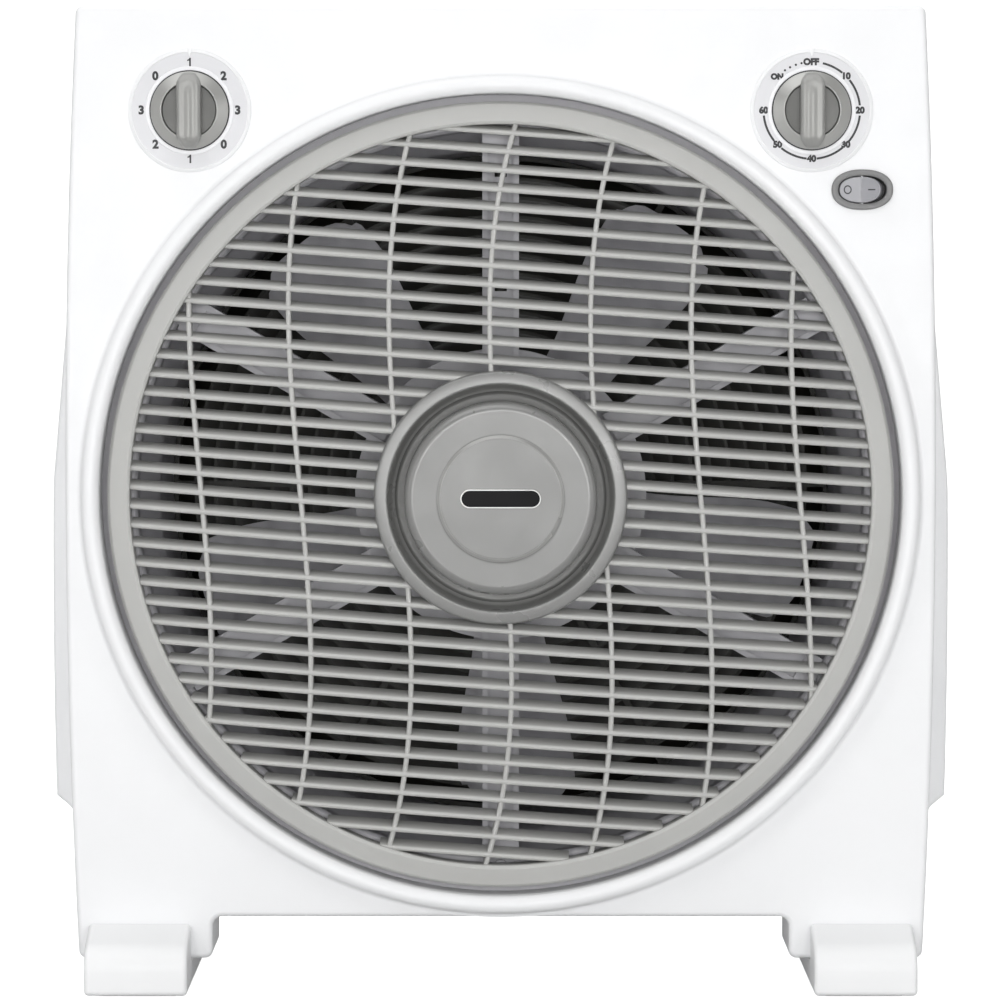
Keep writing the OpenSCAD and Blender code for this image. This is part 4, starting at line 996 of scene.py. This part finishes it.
def knob_piece(name, at, body, node):
    """A silver knob: a turned bowl with a grip bar that has three soft ridges and a pointer notch."""
    r = knob_hi.x - timer_at[0]
    back, front = knob_hi.y, knob_lo.y
    rim, dish = back - 4.5 * MM, back - 2.6 * MM
    bowl = [(3 * MM, back), (r, back), (r, back - 1.3 * MM), (r - 4.7 * MM, rim), (r - 5.1 * MM, rim + 0.25 * MM),
            (r - 5.4 * MM, dish), (3 * MM, dish)]
    bowl = soften(bowl, mm(0.2, 0.3, 0.5, 0.25, 0.2, 0.4, 0), 4)
    shell = Shell()
    bm = shell.bm
    revolve(bm, bowl, at, 128)
    for f in bm.faces:
        c = f.calc_center_median()
        if from_axis(c, at) < r - 5.1 * MM and c.y < dish + 0.5 * MM:
            f.material_index = 1
    bowl_faces = set(bm.faces)
    rows, columns, half = 44, 36, 5.4 * MM
    grid = []
    for i in range(rows + 1):
        row = []
        for j in range(columns + 1):
            narrow = 1 - 0.5 * max(0.0, (abs(2 * i / rows - 1) - 0.72) / 0.28) ** 2
            u = (-half + 2 * half * j / columns) * narrow
            reach = sqrt((r - 0.7 * MM) ** 2 - u * u)
            v = -reach + 2 * reach * i / rows
            s = abs(2 * j / columns - 1)
            ridges = 0.3 * MM * cos(s * pi * 2.5) if s < 0.96 else 0
            side_fall = 1.7 * MM * s ** 5
            end = max(0.0, (abs(v) - (reach - 5.2 * MM)) / (5.2 * MM))
            end_fall = 4.4 * MM * end ** 2.2
            notch = 0.0
            if v > 0:
                notch = 1.1 * MM * exp(-((u / (1.5 * MM)) ** 2 + ((v - reach + 5.6 * MM) / (2.2 * MM)) ** 2))
            y = front + 0.4 * MM - ridges * (1 - end) + side_fall + end_fall + notch
            row.append(bm.verts.new((at[0] + u, y, at[1] + v)))
        grid.append(row)
    for a, b in zip(grid, grid[1:]):
        for j in range(columns):
            bm.faces.new((a[j], a[j + 1], b[j + 1], b[j]))
    border = grid[0] + [row[columns] for row in grid[1:]] + grid[rows][-2::-1] + [row[0] for row in grid[-2:0:-1]]
    lower = []
    for v in border:
        over_dish = abs(v.co.z - at[1]) < r - 5.2 * MM
        lower.append(bm.verts.new((v.co.x, dish + 1.2 * MM if over_dish else back - 1 * MM, v.co.z)))
    shell.wall(border, lower)
    shell.flat(lower)
    for f in set(bm.faces) - bowl_faces:
        f.material_index = 2
    return shell.piece(name, knob_silver, knob_dish, knob_grip, body=body, slot="knob_silver", replaces=(node,),
                       sharp=50)


def pointer_piece(name, at):
    """A small white pointer on the panel, which overlaps the top of its dial."""
    tip_z, base_z = at[1] + dial_r - 3.6 * MM, at[1] + dial_r + 0.6 * MM
    shape = soften([(at[0], tip_z), (at[0] + 1.25 * MM, base_z), (at[0] - 1.25 * MM, base_z)], 0.3 * MM, 3)
    shell = Shell()
    levels = [(0, face_y), (0, face_y - 1.25 * MM), (0.15 * MM, face_y - 1.4 * MM)]
    shell.solid([shell.ring(inward(shape, d), y) for d, y in levels])
    return shell.piece(name, body_plastic, slot="body_white", sharp=40)


dial_piece("speed_dial_plate", speed_at, "speed_dial")
dial_piece("timer_dial_plate", timer_at, "timer_dial")
raised_print("speed_dial_print", speed_at, [(t, 45 * k, 5.2 * MM) for k, t in enumerate("12301230")], [], [])
raised_print("timer_dial_print", timer_at,
             [("OFF", -1, 3.9 * MM)] + [(str(10 * k), 45 * k, 3.9 * MM) for k in range(1, 7)] + [("ON", 314, 3.5 * MM)],
             [(13, 39), (51, 84), (96, 130), (140, 174), (186, 219), (231, 264)], [326, 333, 340.5, 347.5])
knob_piece("speed_knob_silver", speed_at, "speed_control", "speed_knob")
knob_piece("timer_knob_silver", timer_at, "timer_control", "timer_knob")
pointer_piece("speed_pointer", speed_at)
pointer_piece("timer_pointer", timer_at)

# ---- Rocker switch ----


def switch_frame():
    """The oval frame round the rocker, with its well."""
    a, b = bezel_hi.x - pivot.x, bezel_hi.z - pivot.z
    y = bezel_lo.y
    shell = Shell()
    rings = [shell.ring(oval(a - da * MM, b - db * MM, rocker_at), yy) for da, db, yy in (
        (0, 0, face_y), (0, 0, y + 0.9 * MM), (0.3, 0.3, y + 0.3 * MM), (0.9, 0.9, y), (2.6, 2.5, y + 0.25 * MM),
        (3, 2.9, y + 0.7 * MM), (3, 2.9, face_y + 10 * MM), (2.1, 2.1, face_y + 14 * MM), (2.1, 2.1, face_y))]
    shell.walls(rings[:7])
    shell.flat(rings[6])
    shell.wall(rings[7], rings[8])
    shell.wall(rings[8], rings[0])
    shell.flat(rings[7])
    return shell.piece("switch_frame", bezel_plastic, slot="switch_grey", replaces=("rocker_switch",), sharp=45)


half_travel = radians(12)
rise = 10 * MM * tan(half_travel)
rocker_a = (10.45 * MM - (4.2 * MM + rise) * sin(half_travel)) / cos(half_travel)
rocker_b = 5.85 * MM
tip = Matrix.Translation(pivot) @ Matrix.Rotation(-half_travel, 4, "Z")


def rocker_front(x):
    return -4.2 * MM - rise * min(1.0, abs(x) / (10 * MM)) ** 1.15


def rocker_piece():
    """The rocker, tipped by half its travel, with its two faces meeting in the middle."""
    shell = Shell()
    bm = shell.bm
    loops = []
    for s, drop in ((1, 0.5), (0.98, 0.18), (0.96, 0.04), (0.94, 0), (0.8, 0), (0.65, 0), (0.5, 0), (0.35, 0),
                    (0.2, 0)):
        loops.append([bm.verts.new((x, rocker_front(x) + drop * MM, z)) for x, z in oval(rocker_a * s, rocker_b * s)])
    base = [bm.verts.new((x, 1.2 * MM + 1.8 * MM * max(0, 1 - abs(x) / rocker_a), z))
            for x, z in oval(rocker_a, rocker_b)]
    shell.walls([base] + loops)
    for loop, y in ((loops[-1], rocker_front(0)), (base, 3 * MM)):
        middle = bm.verts.new((0, y, 0))
        for i in range(len(loop)):
            bm.faces.new((loop[i - 1], loop[i], middle))
    bm.transform(tip)
    return shell.piece("rocker_cap", rocker_plastic, body="rocker_key", slot="rocker_grey", replaces=("rocker",),
                       sharp=45)


def rocker_marks():
    """The ring and bar that mark off and on, laid into the two halves of the rocker."""
    shell = Shell()
    bm = shell.bm
    left, right = -5.6 * MM, 5.2 * MM
    rows = []
    for r, lift in ((1.75, 0.03), (1.75, -0.05), (1.25, -0.05), (1.25, 0.03)):
        rows.append([bm.verts.new((x, rocker_front(x) + lift * MM, z * 1.15))
                     for x, z in circle(r * MM, (left, 0), 32)])
    shell.walls(rows + rows[:1])
    corners = along(right, 0, (-1.7, -0.28), (1.7, -0.28), (1.7, 0.28), (-1.7, 0.28))
    prism(bm, *[[bm.verts.new((x, rocker_front(x) + lift * MM, z)) for x, z in corners] for lift in (0.03, -0.05)])
    bm.transform(tip)
    return shell.piece("rocker_marks", print_and_gap_shade_ink, body="rocker_key", slot="rocker_grey", sharp=40, weighted=False)


switch_frame()
rocker_piece()
rocker_marks()

# ---- Screws ----


def screw_master():
    """A pan head with a cross recess and a threaded shank, pointing along -Y from under its head."""
    bm = bmesh.new()
    head = along(0, 0, (1.5, 0), (3.1, 0), (3.2, 0.15), (3.2, 0.7), (2.8, 1.4), (2.1, 1.9), (1.5, 2.1), (1.1, 2.1),
                 (1.0, 1.2), (0, 0.7))
    thread = []
    for k in range(9):
        thread += along(0, (-0.6 - k * 0.8) * MM, (1.2, 0), (1.48, -0.3))
    revolve(bm, head + [(0, -8.6 * MM)] + thread[::-1], (0, 0), 32)
    for c, s in ((1, 0), (0, 1)):
        corners = along(0, 0, (-2.1, -0.32), (2.1, -0.32), (2.1, 0.32), (-2.1, 0.32))
        for f in prism(bm, *[[bm.verts.new((x * c - z * s, y * MM, x * s + z * c)) for x, z in corners]
                             for y in (1.9, 2.13)]):
            f.material_index = 1
    return linked("screw_master", to_mesh(bm, "screw"))


def screws(name, places, node):
    mesh = copies(master, places, zinc_plate)
    mesh.materials.clear()
    return finish_piece(mesh, name, zinc_plate, slot="zinc_steel", replaces=(node,), sharp=35, weighted=False)


master = screw_master()
guard_places = []
for k in range(6):
    x, z = clock_place(fan_at, duct_r + 8 * MM, 60 - 60 * k)
    guard_places.append(((x, back_y + 2.5 * MM, z), (0, radians(17 * k), 0)))
screws("guard_screw_set", guard_places, "guard_screws")
screws("housing_screw_set", [((x, joint_y + 7 * MM, z), (0, radians(copysign(23, x)), 0))
                             for x, z in housing_screw_places], "housing_screws")
bpy.data.objects.remove(master)

# ---- Floor, light and camera ----

floor = bpy.data.meshes.new("floor")
reach, bend, wall_y, wall_top = 30.0, 1.2, 4.2, 6.0
verts = []
for y, z in [(-reach, 0.0)] + arc(wall_y, bend, bend, -90, 0, 10) + [(wall_y + bend, wall_top)]:
    verts += [(-reach, y, z), (reach, y, z)]
faces = [(k, k + 1, k + 3, k + 2) for k in range(0, len(verts) - 2, 2)]
floor.from_pydata(verts, [], faces)
floor.shade_smooth()
paper = moulded("backdrop_paper", (0.40, 0.40, 0.40), 0.8, 2, 0.02, 0.004)
paper_inputs = paper.node_tree.nodes["Principled BSDF"].inputs
paper_inputs["Emission Color"].default_value = (1, 1, 1, 1)
paper_inputs["Emission Strength"].default_value = 1
floor.materials.append(paper)
backdrop = linked("backdrop", floor)
# The backdrop's own glow evens out its shade and doesn't fall on the fan
lit_by_backdrop = bpy.data.collections.new("lit_by_backdrop")
lit_by_backdrop.objects.link(backdrop)
backdrop.light_linking.receiver_collection = lit_by_backdrop


def area_light(name, place, aim, size, power):
    data = bpy.data.lights.new(name, "AREA")
    data.shape = "RECTANGLE"
    data.size, data.size_y = size
    data.energy = power
    obj = linked(name, data)
    obj.location = place
    obj.rotation_euler = (Vector(aim) - Vector(place)).to_track_quat("-Z", "Y").to_euler()


area_light("top_box", (-0.35, -0.85, 1.9), (0, 0, 0.25), (2.0, 1.3), 14)
for side in (-1, 1):
    area_light("side_%d" % (side + 1), (side * 1.5, -1.1, 0.5), (0, 0, 0.24), (0.25, 0.9), 3)
area_light("back_box", (0, 0.7, 2.6), (0, 1.6, 0.4), (3.0, 1.2), 30)
for k in range(-2, 3):
    area_light("strip_%d" % (k + 2), (k * 0.45, -2.5, 0.42), (0, 0, 0.22), (0.06, 0.8), 5.6)

world = bpy.data.worlds.new("studio")
world.use_nodes = True
sky = world.node_tree.nodes["Background"].inputs
sky["Color"].default_value = (1, 1, 1, 1)
sky["Strength"].default_value = 0.24
bpy.context.scene.world = world
bpy.context.scene.view_settings.view_transform = "Standard"

distance, rise_angle = 2.0, radians(3)
seen_width = 0.450
lens = bpy.data.cameras.new("camera")
lens.sensor_width = 36
lens.lens = lens.sensor_width * distance / seen_width
camera = linked("camera", lens)
aim = Vector((-0.0003, face_y, fan_z - 0.0018))
camera.location = aim + distance * Vector((0, -cos(rise_angle), sin(rise_angle)))
camera.rotation_euler = (aim - camera.location).to_track_quat("-Z", "Y").to_euler()
bpy.context.scene.camera = camera
